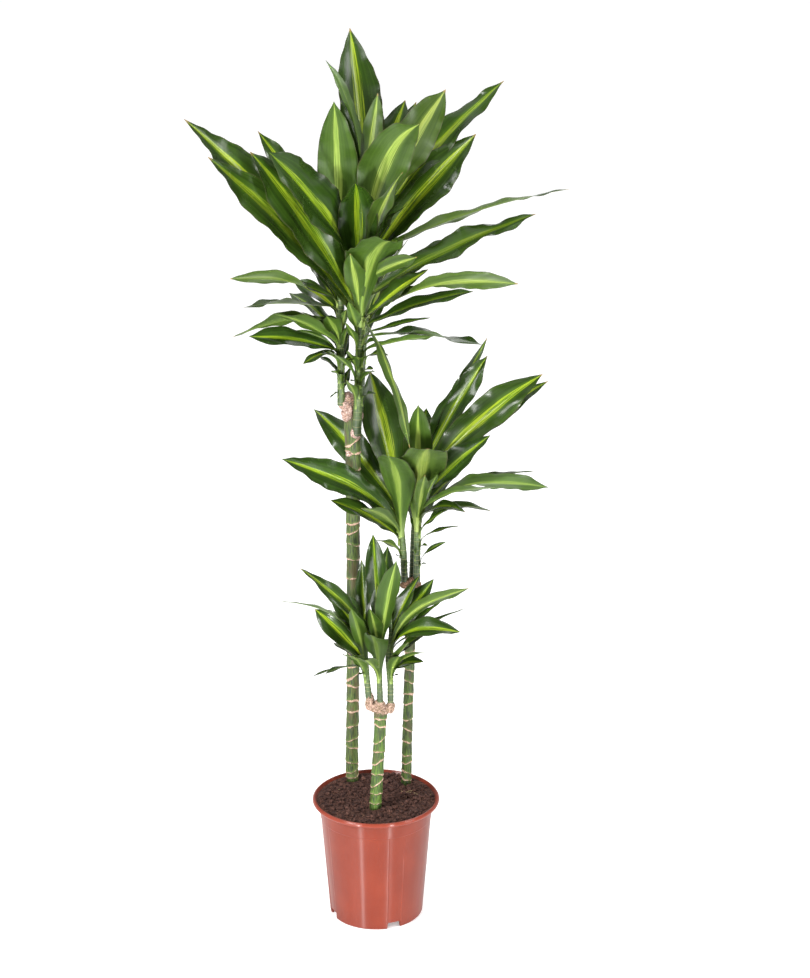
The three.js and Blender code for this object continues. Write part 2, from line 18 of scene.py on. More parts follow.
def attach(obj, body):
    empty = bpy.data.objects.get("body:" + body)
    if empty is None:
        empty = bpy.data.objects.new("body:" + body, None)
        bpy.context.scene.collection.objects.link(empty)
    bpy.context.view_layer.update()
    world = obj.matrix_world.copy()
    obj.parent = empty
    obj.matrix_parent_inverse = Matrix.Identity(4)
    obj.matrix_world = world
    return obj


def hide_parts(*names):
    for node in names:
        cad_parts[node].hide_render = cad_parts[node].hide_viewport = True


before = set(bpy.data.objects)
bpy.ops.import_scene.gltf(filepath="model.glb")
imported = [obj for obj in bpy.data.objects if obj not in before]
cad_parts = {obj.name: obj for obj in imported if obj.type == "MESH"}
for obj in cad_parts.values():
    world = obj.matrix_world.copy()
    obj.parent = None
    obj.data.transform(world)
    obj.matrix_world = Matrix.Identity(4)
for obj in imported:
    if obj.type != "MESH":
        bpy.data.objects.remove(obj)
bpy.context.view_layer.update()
MM = 0.001        # the plant's sizes are written in millimetres, as it was measured
print("packed pieces:", ", ".join(sorted(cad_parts)))

# %% [markdown]
# ## Camera, light and floor
# A studio picture of a tall plant is taken from some way off with a long lens, so that pot and crown
# keep their proportions. The camera stands 2.4 m up and looks down a little, which shows the soil.
# The light is what a product photographer would set up: a white room under a bright ceiling, three
# softboxes for the sheen of the leaves, and two strip lights beside the camera, which draw the
# upright streaks on the pot. The ceiling is a sun lamp with a very wide disc. The others are area
# lights, whose size and distance decide how soft a shadow or a highlight is. The floor glows a
# little, so that it reads as white paper.

# %% Camera
CAMERA_PLACE, CAMERA_LOOKS_DOWN, CAMERA_LENS = (0.0546, -4.300, 2.3675), 19.46, 93.2

scene = bpy.context.scene
scene.view_settings.view_transform = "Standard"


def add(name, data):
    """A new object in the scene that shows the data."""
    thing = bpy.data.objects.new(name, data)
    scene.collection.objects.link(thing)
    return thing


camera_data = bpy.data.cameras.new("camera")
camera_data.lens = CAMERA_LENS
camera = add("camera", camera_data)
camera.location = CAMERA_PLACE
camera.rotation_euler = (math.radians(90 - CAMERA_LOOKS_DOWN), 0, 0)
scene.camera = camera
print("camera:", tuple(round(x, 2) for x in camera.location), "lens", camera_data.lens)

# %% Floor and white room
FLOOR_HALF = 30             # metres
FLOOR_WHITE, FLOOR_GLOW = 0.92, 0.3
# heights of a direction (0 level, 1 straight up) between which the walls dim, and how bright they
# are below and above
WALL_FADES, WALL_BRIGHT, WALL_DIM = (0.12, 0.4), 1.0, 0.22


def pale_floor():
    material = bpy.data.materials.new("pale floor")
    material.use_nodes = True
    shader = material.node_tree.nodes["Principled BSDF"]
    for name, value in {"Base Color": (FLOOR_WHITE, FLOOR_WHITE, FLOOR_WHITE, 1), "Roughness": 0.9,
                        "Emission Color": (1, 1, 1, 1), "Emission Strength": FLOOR_GLOW}.items():
        shader.inputs[name].default_value = value
    mesh = bpy.data.meshes.new("floor")
    corners = [(x * FLOOR_HALF, y * FLOOR_HALF, 0) for x, y in ((-1, -1), (1, -1), (1, 1), (-1, 1))]
    mesh.from_pydata(corners, [], [(0, 1, 2, 3)])
    mesh.materials.append(material)
    floor = add("floor", mesh)
    return floor


def white_room():
    """A room with white walls, bright as the floor where they meet it and dim overhead."""
    room = bpy.data.worlds.new("white room")
    room.use_nodes = True
    tree = room.node_tree
    way = tree.nodes.new("ShaderNodeTexCoord")
    parts = tree.nodes.new("ShaderNodeSeparateXYZ")
    fade = tree.nodes.new("ShaderNodeMapRange")
    fade.interpolation_type = "SMOOTHSTEP"
    fade_numbers = (*WALL_FADES, WALL_BRIGHT, WALL_DIM)
    for name, value in zip(("From Min", "From Max", "To Min", "To Max"), fade_numbers):
        fade.inputs[name].default_value = value
    background = tree.nodes["Background"]
    background.inputs["Color"].default_value = (1, 1, 1, 1)
    tree.links.new(way.outputs["Generated"], parts.inputs[0])
    tree.links.new(parts.outputs[2], fade.inputs["Value"])
    tree.links.new(fade.outputs[0], background.inputs["Strength"])
    return room


floor = pale_floor()
scene.world = white_room()
print("floor:", floor.name, "- room:", scene.world.name)

# %% Ceiling light and softboxes
CEILING_POWER, CEILING_WIDTH, CEILING_TILT = 1.6, 80, -8        # width and tilt in degrees
# place, what it shines at, width and height in metres, power in watts
SOFTBOXES = {
    "softbox left": ((-2.4, -2.0, 2.9), (0, 0, 1.1), (1.0, 1.4), 130),
    "softbox right": ((2.8, -1.2, 2.7), (0, 0, 1.1), (1.0, 1.4), 50),
    "strip left": ((-2.05, -3.7, 0.35), (0, 0, 0.3), (0.1, 0.66), 150),
    "strip right": ((1.95, -3.85, 0.35), (0, 0, 0.3), (0.1, 0.66), 165),
    "softbox behind": ((0.8, 3.0, 3.2), (0, 0, 1.2), (1.6, 1.6), 30),
}

ceiling = bpy.data.lights.new("bright ceiling", "SUN")
ceiling.energy, ceiling.angle = CEILING_POWER, math.radians(CEILING_WIDTH)
add("bright ceiling", ceiling).rotation_euler = (math.radians(CEILING_TILT), math.radians(CEILING_TILT), 0)

for name, (place, aim, size, power) in SOFTBOXES.items():
    light = bpy.data.lights.new(name, "AREA")
    light.shape, light.energy = "RECTANGLE", power
    light.size, light.size_y = size
    lamp = add(name, light)
    lamp.location = place
    lamp.rotation_euler = (Vector(aim) - Vector(place)).to_track_quat("-Z", "Y").to_euler()

# %% [markdown]
# ## A few measuring helpers
# Values that change softly from one to another, angles spread round an axis, and soft noise turn up
# all over the plant, so each has a small helper. Chance in the canes and leaves comes from one
# repeatable draw: the same number always gives the same answer, so the plant grows alike every time
# the script runs.

# %% Draws, soft steps and noise
def draw(n):
    """A repeatable draw between 0 and 1 for the number n."""
    s = math.sin(n * 12.9898 + 4.1) * 43758.5453
    return s - math.floor(s)


def smooth(t, low, high):
    """0 below low, 1 above high, and an S-curve between."""
    x = np.clip((np.asarray(t, float) - low) / (high - low), 0, 1)
    return x * x * (3 - 2 * x)


def unit(v):
    """The vector made one long."""
    return v / np.linalg.norm(v)


def round_angles(count):
    """Evenly spread angles round a circle."""
    return np.arange(count) * 2 * math.pi / count


def rough(x, y, z, scale, octaves=3):
    """Soft noise between about -1 and 1 at a point in millimetres; scale is the size of its bumps."""
    return noise.fractal(Vector((x, y, z)) / scale, 1.0, 2.0, octaves)


print("draws:", [round(draw(n), 3) for n in range(4)])

# %% [markdown]
# ## From points to a piece
# Every piece is a mesh made from points and faces worked out in code. One helper turns them into an
# object: it stores the numbers that the finishes read later (how far a point is from a ring scar,
# which side of a leaf it lies on), smooths the shading where the surface bends gently, and keeps it
# sharp at real edges. The piece then rides on the plant's one rigid body.

# %% Piece and grid helpers
def make_piece(name, points, faces, slot, finish, of_face=None, replaces=(), facts=None, leaf_map=None,
               sharp=45):
    """A mesh object from points in millimetres. finish is a list of materials, and of_face says which
    of them each face takes; facts are numbers per point, by name; leaf_map is a place (across, along)
    per point; edges that bend by more than sharp degrees stay sharp."""
    mesh = bpy.data.meshes.new(name)
    mesh.from_pydata((np.asarray(points) * MM).tolist(), [], [tuple(map(int, f)) for f in faces])
    for fact, values in (facts or {}).items():
        mesh.attributes.new(fact, "FLOAT", "POINT").data.foreach_set("value", np.asarray(values, np.float32))
    if leaf_map is not None:
        corner = np.zeros(len(mesh.loops), np.int32)
        mesh.loops.foreach_get("vertex_index", corner)
        layer = mesh.uv_layers.new(name="leaf")
        layer.data.foreach_set("uv", np.asarray(leaf_map, np.float32)[corner].ravel())
    for material in finish:
        mesh.materials.append(material)
    if of_face is not None:
        mesh.polygons.foreach_set("material_index", np.asarray(of_face, np.int32))
    mesh.shade_smooth()
    mesh.set_sharp_from_angle(angle=math.radians(sharp))
    mesh.update()
    piece = add(name, mesh)
    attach(piece, "root")
    if replaces:
        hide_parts(*replaces)
    return piece


def grid_faces(rows, columns, closed=False, start=0):
    """Quads over a grid of points; closed joins the last column to the first."""
    faces = []
    for i in range(rows - 1):
        for k in range(columns if closed else columns - 1):
            a, b = start + i * columns + k, start + i * columns + (k + 1) % columns
            faces.append((a, b, b + columns, a + columns))
    return faces


def tube_faces(rows, columns, start=0):
    """The quads of a tube with both of its ends closed by one face."""
    last = start + (rows - 1) * columns
    return (grid_faces(rows, columns, True, start)
            + [tuple(range(start + columns - 1, start - 1, -1)), tuple(range(last, last + columns))])


print("faces of a closed tube with 3 rings of 4 points:", len(tube_faces(3, 4)))

# %% [markdown]
# ## Finishes as small node trees
# All colours, gloss and grain come from nodes, so they hold at any distance and need no pictures.
# The trees are long, so a few helpers keep them readable: one adds a node with its settings, one does
# arithmetic, one mixes two colours and one makes noise. Each finish below is then a short recipe.

# %% Node helpers
def srgb(*picked):
    """A colour as picked on screen (0 to 255) as the linear colour that a shader takes."""
    linear = (c / 255 / 12.92 if c <= 10 else ((c / 255 + 0.055) / 1.055) ** 2.4 for c in picked)
    return (*linear, 1)


class Recipe:
    """One material while it is being mixed."""

    def __init__(self, name):
        self.material = bpy.data.materials.new(name)
        self.material.use_nodes = True
        self.tree = self.material.node_tree
        self.shader = self.tree.nodes["Principled BSDF"]

    def put(self, socket, value):
        if isinstance(value, bpy.types.NodeSocket):
            self.tree.links.new(value, socket)
        else:
            socket.default_value = value

    def node(self, kind, inputs=None, **settings):
        made = self.tree.nodes.new("ShaderNode" + kind)
        for name, value in settings.items():
            setattr(made, name, value)
        for name, value in (inputs or {}).items():
            self.put(made.inputs[name], value)
        return made

    def compute(self, operation, a, b=0.0):
        return self.node("Math", {0: a, 1: b}, operation=operation).outputs[0]

    def plus(self, a, b):
        return self.compute("ADD", a, b)

    def less(self, a, b):
        return self.compute("SUBTRACT", a, b)

    def times(self, a, b):
        return self.compute("MULTIPLY", a, b)

    def ramp(self, value, low, high, to_low=0.0, to_high=1.0):
        """value from low to high becomes to_low to to_high, along an S-curve."""
        return self.node("MapRange", {"Value": value, "From Min": low, "From Max": high, "To Min": to_low,
                                      "To Max": to_high}, interpolation_type="SMOOTHSTEP").outputs[0]

    def mix(self, share, a, b, blend="MIX"):
        """From a to b by share; each is a node's colour or one as picked on screen."""
        a, b = (srgb(*c) if isinstance(c, tuple) else c for c in (a, b))
        return self.node("Mix", {0: share, 6: a, 7: b}, data_type="RGBA", blend_type=blend).outputs[2]

    def fact(self, name):
        """A number stored per point of the mesh."""
        return self.node("Attribute", attribute_name=name).outputs["Fac"]

    def place(self, stretch=(1, 1, 1)):
        """Where on the piece a point lies, in millimetres, pulled by stretch along each axis."""
        where = self.node("TexCoord").outputs["Object"]
        scaled = tuple(s * 1000 for s in stretch)
        return self.node("VectorMath", {0: where, 1: scaled}, operation="MULTIPLY").outputs[0]

    def grain(self, where, size, detail=3.0, rough=0.5):
        """Noise between 0 and 1; size is that of its bumps, in the units of where."""
        return self.node("TexNoise", {"Vector": where, "Scale": 1 / size, "Detail": detail,
                                      "Roughness": rough}).outputs["Fac"]

    def bump(self, height, depth, strength=1.0):
        """Fine relief; depth is its height in millimetres."""
        made = self.node("Bump", {"Height": height, "Distance": depth * MM, "Strength": strength})
        self.put(self.shader.inputs["Normal"], made.outputs[0])

    def finish(self, colour, roughness, **uniform):
        """Sets colour and roughness; uniform numbers, the same all over, go on the shader itself."""
        self.put(self.shader.inputs["Base Color"], colour)
        self.put(self.shader.inputs["Roughness"], roughness)
        for name, value in uniform.items():
            self.shader.inputs[name.replace("_", " ")].default_value = value
        return self.material


print("a terracotta as picked on screen:", [round(c, 3) for c in srgb(190, 90, 70)])

# %% [markdown]
# ## The pot
# A nursery pot is one injection-moulded piece: a tapering wall, a thick rolled rim, a faint step
# where the wall thickens, and a foot with notches that let water out. A turned shape needs only its
# profile. Here each corner of that profile is rounded first and the profile is then carried round
# the axis by hand rather than with the Screw modifier, because the notches can then be made by
# lifting the foot's points where a notch is, with no boolean cut to clean up.

# %% Profile of the pot
RIM_RADIUS, RIM_TOP = 120, 236
WALL, WALL_TOP_RADIUS, WALL_FOOT_RADIUS = 2.2, 107, 88
LIP_RADIUS, LIP_FOOT, STEP_HEIGHT = 114, 220, 197
CHANNEL_INNER, CHANNEL_OUTER, CHANNEL_HEIGHT = 55, 80, 12
NOTCH_COUNT, NOTCH_FIRST, NOTCH_WIDTH, NOTCH_HEIGHT = 4, -67, 27, 13
NOTCH_STEEP = (0.016, 0.008, 0.003)     # radians from a notch's edge at which its side has points
NOTCH_ROOF, NOTCH_FOOT = 0.016, 0.004   # radians in from the edge to its roof, and out to the foot

step_radius = WALL_FOOT_RADIUS + (WALL_TOP_RADIUS - WALL_FOOT_RADIUS) * STEP_HEIGHT / (RIM_TOP - 10)
inside_foot, inside_top = WALL_FOOT_RADIUS - WALL, WALL_TOP_RADIUS - WALL
# radius, height, and how far along its edges each corner is rounded
POT_PROFILE = [
    (0, 0, 0), (CHANNEL_INNER, 0, 1), (CHANNEL_INNER + 2, CHANNEL_HEIGHT, 2),
    (CHANNEL_OUTER, CHANNEL_HEIGHT, 2), (WALL_FOOT_RADIUS - 5, 0, 0.8),
    (WALL_FOOT_RADIUS - 1.5, 0, 0.8), (WALL_FOOT_RADIUS, 2, 0.8),
    (step_radius - 0.8, STEP_HEIGHT, 0.3), (step_radius, STEP_HEIGHT + 1, 0.5),
    (WALL_TOP_RADIUS, RIM_TOP - 10, 1.6), (RIM_RADIUS - 3, RIM_TOP - 9, 1.6), (RIM_RADIUS, RIM_TOP - 5, 2.2),
    (RIM_RADIUS - 2.5, RIM_TOP - 1, 1.8), (RIM_RADIUS - 5.5, RIM_TOP, 1.3), (LIP_RADIUS, RIM_TOP - 2, 1.2),
    (inside_top, LIP_FOOT, 3), (inside_foot, CHANNEL_HEIGHT + WALL, 2),
    (CHANNEL_INNER + 2 - WALL, CHANNEL_HEIGHT + WALL, 2), (CHANNEL_INNER - WALL, WALL, 2), (0, WALL, 0),
]


def rounded(profile, steps=5):
    """The profile with each corner replaced by a small curve."""
    line = []
    for i, (x, z, soft) in enumerate(profile):
        corner = np.array([x, z], float)
        if soft == 0:
            line.append(corner)
            continue
        before, after = (np.array(profile[i + d][:2], float) - corner for d in (-1, 1))
        a = corner + before * min(soft / np.linalg.norm(before), 0.48)
        b = corner + after * min(soft / np.linalg.norm(after), 0.48)
        for t in np.linspace(0, 1, steps):
            line.append((1 - t) ** 2 * a + 2 * t * (1 - t) * corner + t * t * b)
    return np.array(line)


pot_line = rounded(POT_PROFILE)
print("pot profile:", len(pot_line), "points, rim", 2 * pot_line[:, 0].max(), "mm across")

# %% Turn the profile and lift the foot at the notches
POT_SIDES = 168
notch_edge = NOTCH_WIDTH / 2 / WALL_FOOT_RADIUS         # half a notch as an angle


def pot_angles():
    """Angles round the pot, with extra ones at the edges of each notch."""
    angles = list(round_angles(POT_SIDES))
    for i in range(NOTCH_COUNT):
        middle = math.radians(NOTCH_FIRST + 360 / NOTCH_COUNT * i - 90)
        for edge in (middle - notch_edge, middle + notch_edge):
            angles += [edge + side * d for side in (-1, 1) for d in NOTCH_STEEP]
    return np.unique(np.round(np.mod(angles, 2 * math.pi), 4))


def in_notch(angle):
    """1 inside a notch of the foot and 0 outside, with a steep edge between."""
    pitch = 2 * math.pi / NOTCH_COUNT
    away = np.mod(angle - math.radians(NOTCH_FIRST - 90) + pitch / 2, pitch) - pitch / 2
    return 1 - smooth(np.abs(away), notch_edge - NOTCH_ROOF, notch_edge + NOTCH_FOOT)


def pot_points(line, angles):
    """Rings round the axis; the foot's points rise to the roof of a notch where one is."""
    points = []
    for radius, height in line:
        foot = radius > CHANNEL_OUTER and height < NOTCH_HEIGHT
        z = height + (NOTCH_HEIGHT - height) * in_notch(angles) if foot else np.full(len(angles), height)
        points.append(np.stack([radius * np.cos(angles), radius * np.sin(angles), z], 1))
    return np.concatenate(points)


angles = pot_angles()
side_count = len(angles)
ring_line = pot_line[1:-1]                      # the first and last point lie on the axis
points = pot_points(ring_line, angles)
faces = grid_faces(len(ring_line), side_count, closed=True)
under, floor_inside = len(points), len(points) + 1
points = np.concatenate([points, [[0, 0, 0], [0, 0, WALL]]])
last_ring = (len(ring_line) - 1) * side_count
for k in range(side_count):
    n = (k + 1) % side_count
    faces += [(under, n, k), (floor_inside, last_ring + k, last_ring + n)]
pot_shape = (points, faces)
print("pot mesh:", len(points), "points")

# %% [markdown]
# ## Moulded plastic
# The plastic is one even terracotta colour, painted a little paler at the rim for light passing into it.
# What makes it look moulded is its gloss: smooth upright streaks from the flow of the plastic, and a
# dull film of dust and dried splashes near the foot. So the colour hardly varies, while noise
# stretched along the height drives the roughness.

# %% Finish of the pot
def moulded_plastic():
    r = Recipe("terracotta plastic")
    height = r.node("SeparateXYZ", {0: r.place()}).outputs[2]
    cloud = r.grain(r.place(), 60)
    streaks = r.grain(r.place((1, 1, 0.03)), 9)
    speckle = r.ramp(r.grain(r.place(), 1.6, 2), 0.62, 0.72)
    colour = r.mix(r.ramp(cloud, 0.35, 0.7), (106, 37, 19), (114, 42, 23))
    # painted light: the top of the rim is painted paler, for light that passes into the thin plastic
    painted_rim_light = r.ramp(height, RIM_TOP - 14, RIM_TOP - 6, 0, 0.45)
    colour = r.mix(painted_rim_light, colour, (134, 58, 42))
    splash = r.times(r.ramp(height, 60, 5, 0, 0.35), speckle)
    colour = r.mix(splash, colour, (132, 86, 70))
    shine = r.ramp(streaks, 0.3, 0.7, 0.28, 0.33)
    shine = r.plus(shine, r.times(splash, 0.4))
    r.bump(r.grain(r.place((1, 1, 0.2)), 5, 2), 0.15, 0.35)
    # fine turning marks of the mould run round the pot, so its highlights are drawn out upright:
    # the tangent runs round the pot too, and a quarter turn stands it up
    round_pot = r.node("Tangent", direction_type="RADIAL", axis="Z").outputs[0]
    r.put(r.shader.inputs["Tangent"], round_pot)
    return r.finish(colour, shine, IOR=1.5, Specular_IOR_Level=0.42,
                    Anisotropic=1.0, Anisotropic_Rotation=0.25)


pot = make_piece("moulded_pot", *pot_shape, "pot_plastic", replaces=["pot"],
                 finish=[moulded_plastic()], sharp=50)
print(pot.name, len(pot.data.polygons), "faces")

# %% [markdown]
# ## The potting soil
# Potting soil is damp peat: dark crumbs of every size, with fibres and a few pale straws. A flat disc
# with a noisy colour would look like paint from close by, so there are three layers. The surface is
# a fine grid whose heights come from slow swells and from noise at two sizes; on it lie loose
# crumbs, each a rough ball pressed out of shape; and thin bent fibres lie over them. The crumbs and
# fibres take their chances from a random generator with a fixed seed.

# %% Surface of the soil
SOIL_LEVEL, SOIL_RELIEF, SOIL_FOOT = 231, 2.5, 15
SOIL_EDGE, SOIL_GAP = 111.4, 0.5            # radius of the surface, and room to the pot's wall
SOIL_RINGS, SOIL_SPOKES = 84, 260


def soil_height(x, y):
    """Height of the soil at a place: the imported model's slow swells, with crumbs and a sunken edge."""
    swell = math.sin(x / 11) * math.cos(y / 9) + 0.6 * math.sin((x + 2 * y) / 17)
    crumbs = 1.7 * rough(x, y, 0, 7.5) + 1.0 * rough(x, y, 40, 2.6)
    edge = float(smooth(math.hypot(x, y), 96, SOIL_EDGE))
    return SOIL_LEVEL + 0.5 + (SOIL_RELIEF * swell / 1.6 + crumbs) * (1 - 0.75 * edge) - 1.2 * edge


def ring(radius, z=None):
    """Points round the soil at a radius, at height z or on its surface."""
    places = [(radius * math.cos(a), radius * math.sin(a)) for a in round_angles(SOIL_SPOKES)]
    return [[x, y, soil_height(x, y) if z is None else z] for x, y in places]


points = [[0, 0, soil_height(0, 0)]]
for i in range(1, SOIL_RINGS + 1):
    points += ring(SOIL_EDGE * i / SOIL_RINGS)
points += ring(inside_top - SOIL_GAP, LIP_FOOT) + ring(inside_foot - SOIL_GAP, SOIL_FOOT)
points.append([0, 0, SOIL_FOOT])
below = len(points) - 1             # the middle of the underside
faces = []
for k in range(SOIL_SPOKES):
    n = (k + 1) % SOIL_SPOKES
    faces += [(0, 1 + k, 1 + n), (below, below - SOIL_SPOKES + n, below - SOIL_SPOKES + k)]
# rings run outwards and then down the side, so their quads are turned over to face out
faces += [f[::-1] for f in grid_faces(SOIL_RINGS + 2, SOIL_SPOKES, closed=True, start=1)]
soil_shape = (points, faces)
print("soil surface:", len(points), "points")

# %% Finish of the soil
def damp_soil():
    r = Recipe("damp soil")
    clods = r.grain(r.place(), 7, 4, 0.65)
    grit = r.grain(r.place(), 1.3, 3, 0.65)
    colour = r.mix(r.ramp(clods, 0.3, 0.7), (52, 34, 30), (136, 94, 78))
    colour = r.mix(r.ramp(grit, 0.35, 0.75), (46, 30, 28), colour)
    colour = r.mix(r.ramp(grit, 0.68, 0.78, 0, 0.5), colour, (136, 98, 82))
    r.bump(grit, 1.2, 0.8)
    return r.finish(colour, r.ramp(grit, 0.3, 0.7, 0.8, 0.98), Specular_IOR_Level=0.25)


soil_finish = damp_soil()
soil = make_piece("soil_surface", *soil_shape, "soil", replaces=["soil"],
                  finish=[soil_finish], sharp=60)
print(soil.name, len(soil.data.polygons), "faces")

# %% Crumbs
def ball_grid(bands=5, sides=7):
    """Points of a rough unit ball as rings, with its two poles, and its faces."""
    points = [[0, 0, -1]]
    for i in range(1, bands):
        up = -math.pi / 2 + math.pi * i / bands
        points += [[math.cos(up) * math.cos(a), math.cos(up) * math.sin(a), math.sin(up)]
                   for a in round_angles(sides)]
    points.append([0, 0, 1])
    faces, top = [], len(points) - 1
    for k in range(sides):
        n = (k + 1) % sides
        faces += [(0, 1 + n, 1 + k), (top, top - sides + k, top - sides + n)]
    return np.array(points), faces + grid_faces(bands - 1, sides, closed=True, start=1)


CRUMBS = 1700
# a crumb's size is e to the power of a draw round the middle, times the scale, in millimetres
CRUMB_MIDDLE, CRUMB_SPREAD, CRUMB_SCALE, CRUMB_LARGEST = 1.1, 0.65, 0.62, 5.2
CRUMBS_REACH = 106                                            # from the pot's axis
CANE_FEET = [(-45, 78, 13), (56, 65, 11), (-1, -40, 13)]      # x, y and the room each cane takes
chance = random.Random(24)


def free_place(margin):
    """A chance place on the soil, clear of the canes."""
    while True:
        radius, angle = CRUMBS_REACH * math.sqrt(chance.random()), chance.uniform(0, 2 * math.pi)
        x, y = radius * math.cos(angle), radius * math.sin(angle)
        if all(math.hypot(x - cx, y - cy) > room + margin for cx, cy, room in CANE_FEET):
            return x, y


ball_points, ball_faces = ball_grid()
points, faces = [], []
for _ in range(CRUMBS):
    size = min(math.exp(chance.gauss(CRUMB_MIDDLE, CRUMB_SPREAD)) * CRUMB_SCALE, CRUMB_LARGEST)
    x, y = free_place(size)
    turn = chance.uniform(0, 6.3)
    squash = [size * chance.uniform(*span) for span in ((0.7, 1.3), (0.6, 1.1), (0.45, 0.9))]
    uneven = np.array([chance.uniform(0.72, 1.22) for _ in ball_points])
    px, py, pz = (ball_points * uneven[:, None] * squash).T
    c, s = math.cos(turn), math.sin(turn)
    faces += [tuple(len(points) + v for v in f) for f in ball_faces]
    sunk = soil_height(x, y) + 0.25 * size
    points += (np.stack([px * c - py * s, py * c + px * s, pz], 1) + [x, y, sunk]).tolist()
crumbs = make_piece("soil_crumbs", points, faces, "soil", finish=[soil_finish], sharp=70)
print(crumbs.name, len(crumbs.data.polygons), "faces")

# %% Fibres and straws
FIBRES, STRAND_SIDES, STRAND_STEPS = 90, 5, 8


def strand(start, heading, length, radius, bend, lie):
    """A thin bent strand lying on the soil: its points, from a start place and a heading."""
    x, y = start
    points = []
    for i in range(STRAND_STEPS + 1):
        z = max(soil_height(x, y), SOIL_LEVEL - 1) + radius + lie
        thin = radius * (1 - 0.6 * abs(2 * i / STRAND_STEPS - 1) ** 3)
        for a in round_angles(STRAND_SIDES):
            aside = thin * math.cos(a)
            points.append([x - math.sin(heading) * aside, y + math.cos(heading) * aside,
                           z + thin * math.sin(a)])
        x += math.cos(heading) * length / STRAND_STEPS
        y += math.sin(heading) * length / STRAND_STEPS
        heading += bend / STRAND_STEPS
    return points


def strands(rows):
    """Points and faces of many strands."""
    points, faces = [], []
    for row in rows:
        faces += [f[::-1] for f in tube_faces(STRAND_STEPS + 1, STRAND_SIDES, start=len(points))]
        points += strand(*row)
    return points, faces


fibre_rows = [(free_place(6), chance.uniform(0, 6.3), chance.uniform(6, 20), chance.uniform(0.2, 0.45),
               chance.uniform(-1.6, 1.6), chance.uniform(0.4, 1.6)) for _ in range(FIBRES)]
# pale straws, most of them to the right of the canes: start, heading, length, radius, bend, lie
STRAWS = [((66, 12), 2.5, 22, 0.55, 0.3, 2.6), ((74, 16), 2.9, 17, 0.5, -0.2, 2.2),
          ((82, 6), 2.2, 15, 0.45, 0.4, 2.2), ((60, 22), 0.2, 12, 0.4, 0.3, 2.0),
          ((-72, 30), 0.8, 13, 0.4, 0.5, 1.8)]


def dry_fibre(name, dark, pale):
    r = Recipe(name)
    lengthwise = r.grain(r.place(), 2.2, 2)
    return r.finish(r.mix(lengthwise, dark, pale), 0.8)


fibres = make_piece("soil_fibres", *strands(fibre_rows), "soil",
                    finish=[dry_fibre("peat fibre", (70, 44, 34), (128, 88, 66))])
straws = make_piece("soil_straws", *strands(STRAWS), "soil",
                    finish=[dry_fibre("pale straw", (150, 120, 84), (205, 180, 138))])
print(len(fibres.data.polygons) + len(straws.data.polygons), "faces of fibres and straws")

# %% [markdown]
# ## The canes
# Each cane is a cut length of old stem. Where a leaf once clasped it, a thin tan scar runs round it
# at a slant, and the bark is a little wider just above each scar. The scars are what one sees first,
# so they are placed one by one, by height, slant and direction. The line of a cane is given at a few
# heights, and a smooth curve through them leaves no kinks. The bark is a tube with a ring of points
# at every millimetre or so. Each point also stores its distance to the nearest scar, and the
# finish draws the thin tan line from that number, far sharper than the mesh itself could.

# %% The canes' lines and scars
PLANTING_DEPTH, PLANTING_LEAN = 88, 0.82        # how deep a foot stands, and its distance from the axis
# centre line of each cane from the soil up to its cut top, its radius at those points,
# and its scars: height, slant across the cane, direction of the slant in degrees
CANES = {
    "cane_tall": (
        [[-45, 78, 222], [-44, 78, 397], [-42, 78, 601], [-41, 78, 799], [-41, 78, 934], [-45, 79, 1000]],
        [11.5, 11.5, 11.5, 12.5, 14, 13],
        [[240, 2, 0], [254, 6, 30], [270, 3, 180], [301, 3, 200], [320, 5, 20], [347, 4, 0],
         [380, 3, 90], [397, 4, 270], [430, 2, 180], [450, 9, 10], [470, 2, 0], [497, 5, 150],
         [525, 3, 40], [570, 5, 200], [606, 2, 0], [646, 3, 300], [687, 2, 120], [715, 3, 180],
         [741, 7, 15], [756, 2, 0], [803, 2, 60], [860, 3, 250], [894, 2, 180], [913, 9, 0]]),
    "cane_middle": (
        [[56, 65, 222], [59, 64, 335], [62, 62, 446], [65, 61, 560], [66, 60, 640]],
        [9.2, 9, 9, 9.2, 10.5],
        [[241, 3, 180], [255, 4, 200], [276, 2, 0], [294, 3, 90], [321, 2, 150], [346, 5, 180],
         [367, 2, 20], [400, 2, 0], [418, 3, 270], [445, 4, 190], [470, 3, 170], [506, 2, 0],
         [534, 3, 60], [555, 2, 0], [577, 2, 180], [601, 3, 180], [622, 2, 20]]),
    "cane_short": (
        [[-1, -40, 222], [2, -41, 275], [5, -42, 330], [8, -44, 385], [10, -45, 432]],
        [11, 10.5, 10.5, 10.5, 12],
        [[242, 3, 270], [262, 3, 270], [285, 8, 10], [301, 4, 260], [330, 7, 10], [348, 4, 270],
         [375, 8, 20], [403, 3, 200], [415, 4, 270]]),
}
print({name: f"{len(scars)} scars" for name, (_, _, scars) in CANES.items()})

# %% Bark round a cane
SCAR_DROP, SCAR_RISE = 2.5, 1.2         # over what height the bark steps out to a scar, and how far
BUD_DEPTH, BUD_WIDTH = 2.2, 0.35        # how far a scar dips at its bud, and over what angle
BARK_SIDES, BARK_STEP, BARK_BURIED = 56, 1.1, 12
# how far from a scar, above one and below the cut top the finish still reads a distance
NEAREST, ABOVE, CUT = 9, 30, 90


def planted(line, radius):
    """A cane's line with the foot that stands in the soil."""
    x, y, z = line[0]
    foot = [x * PLANTING_LEAN, y * PLANTING_LEAN, z - PLANTING_DEPTH]
    return np.array([foot, *line], float), [radius[0], *radius]


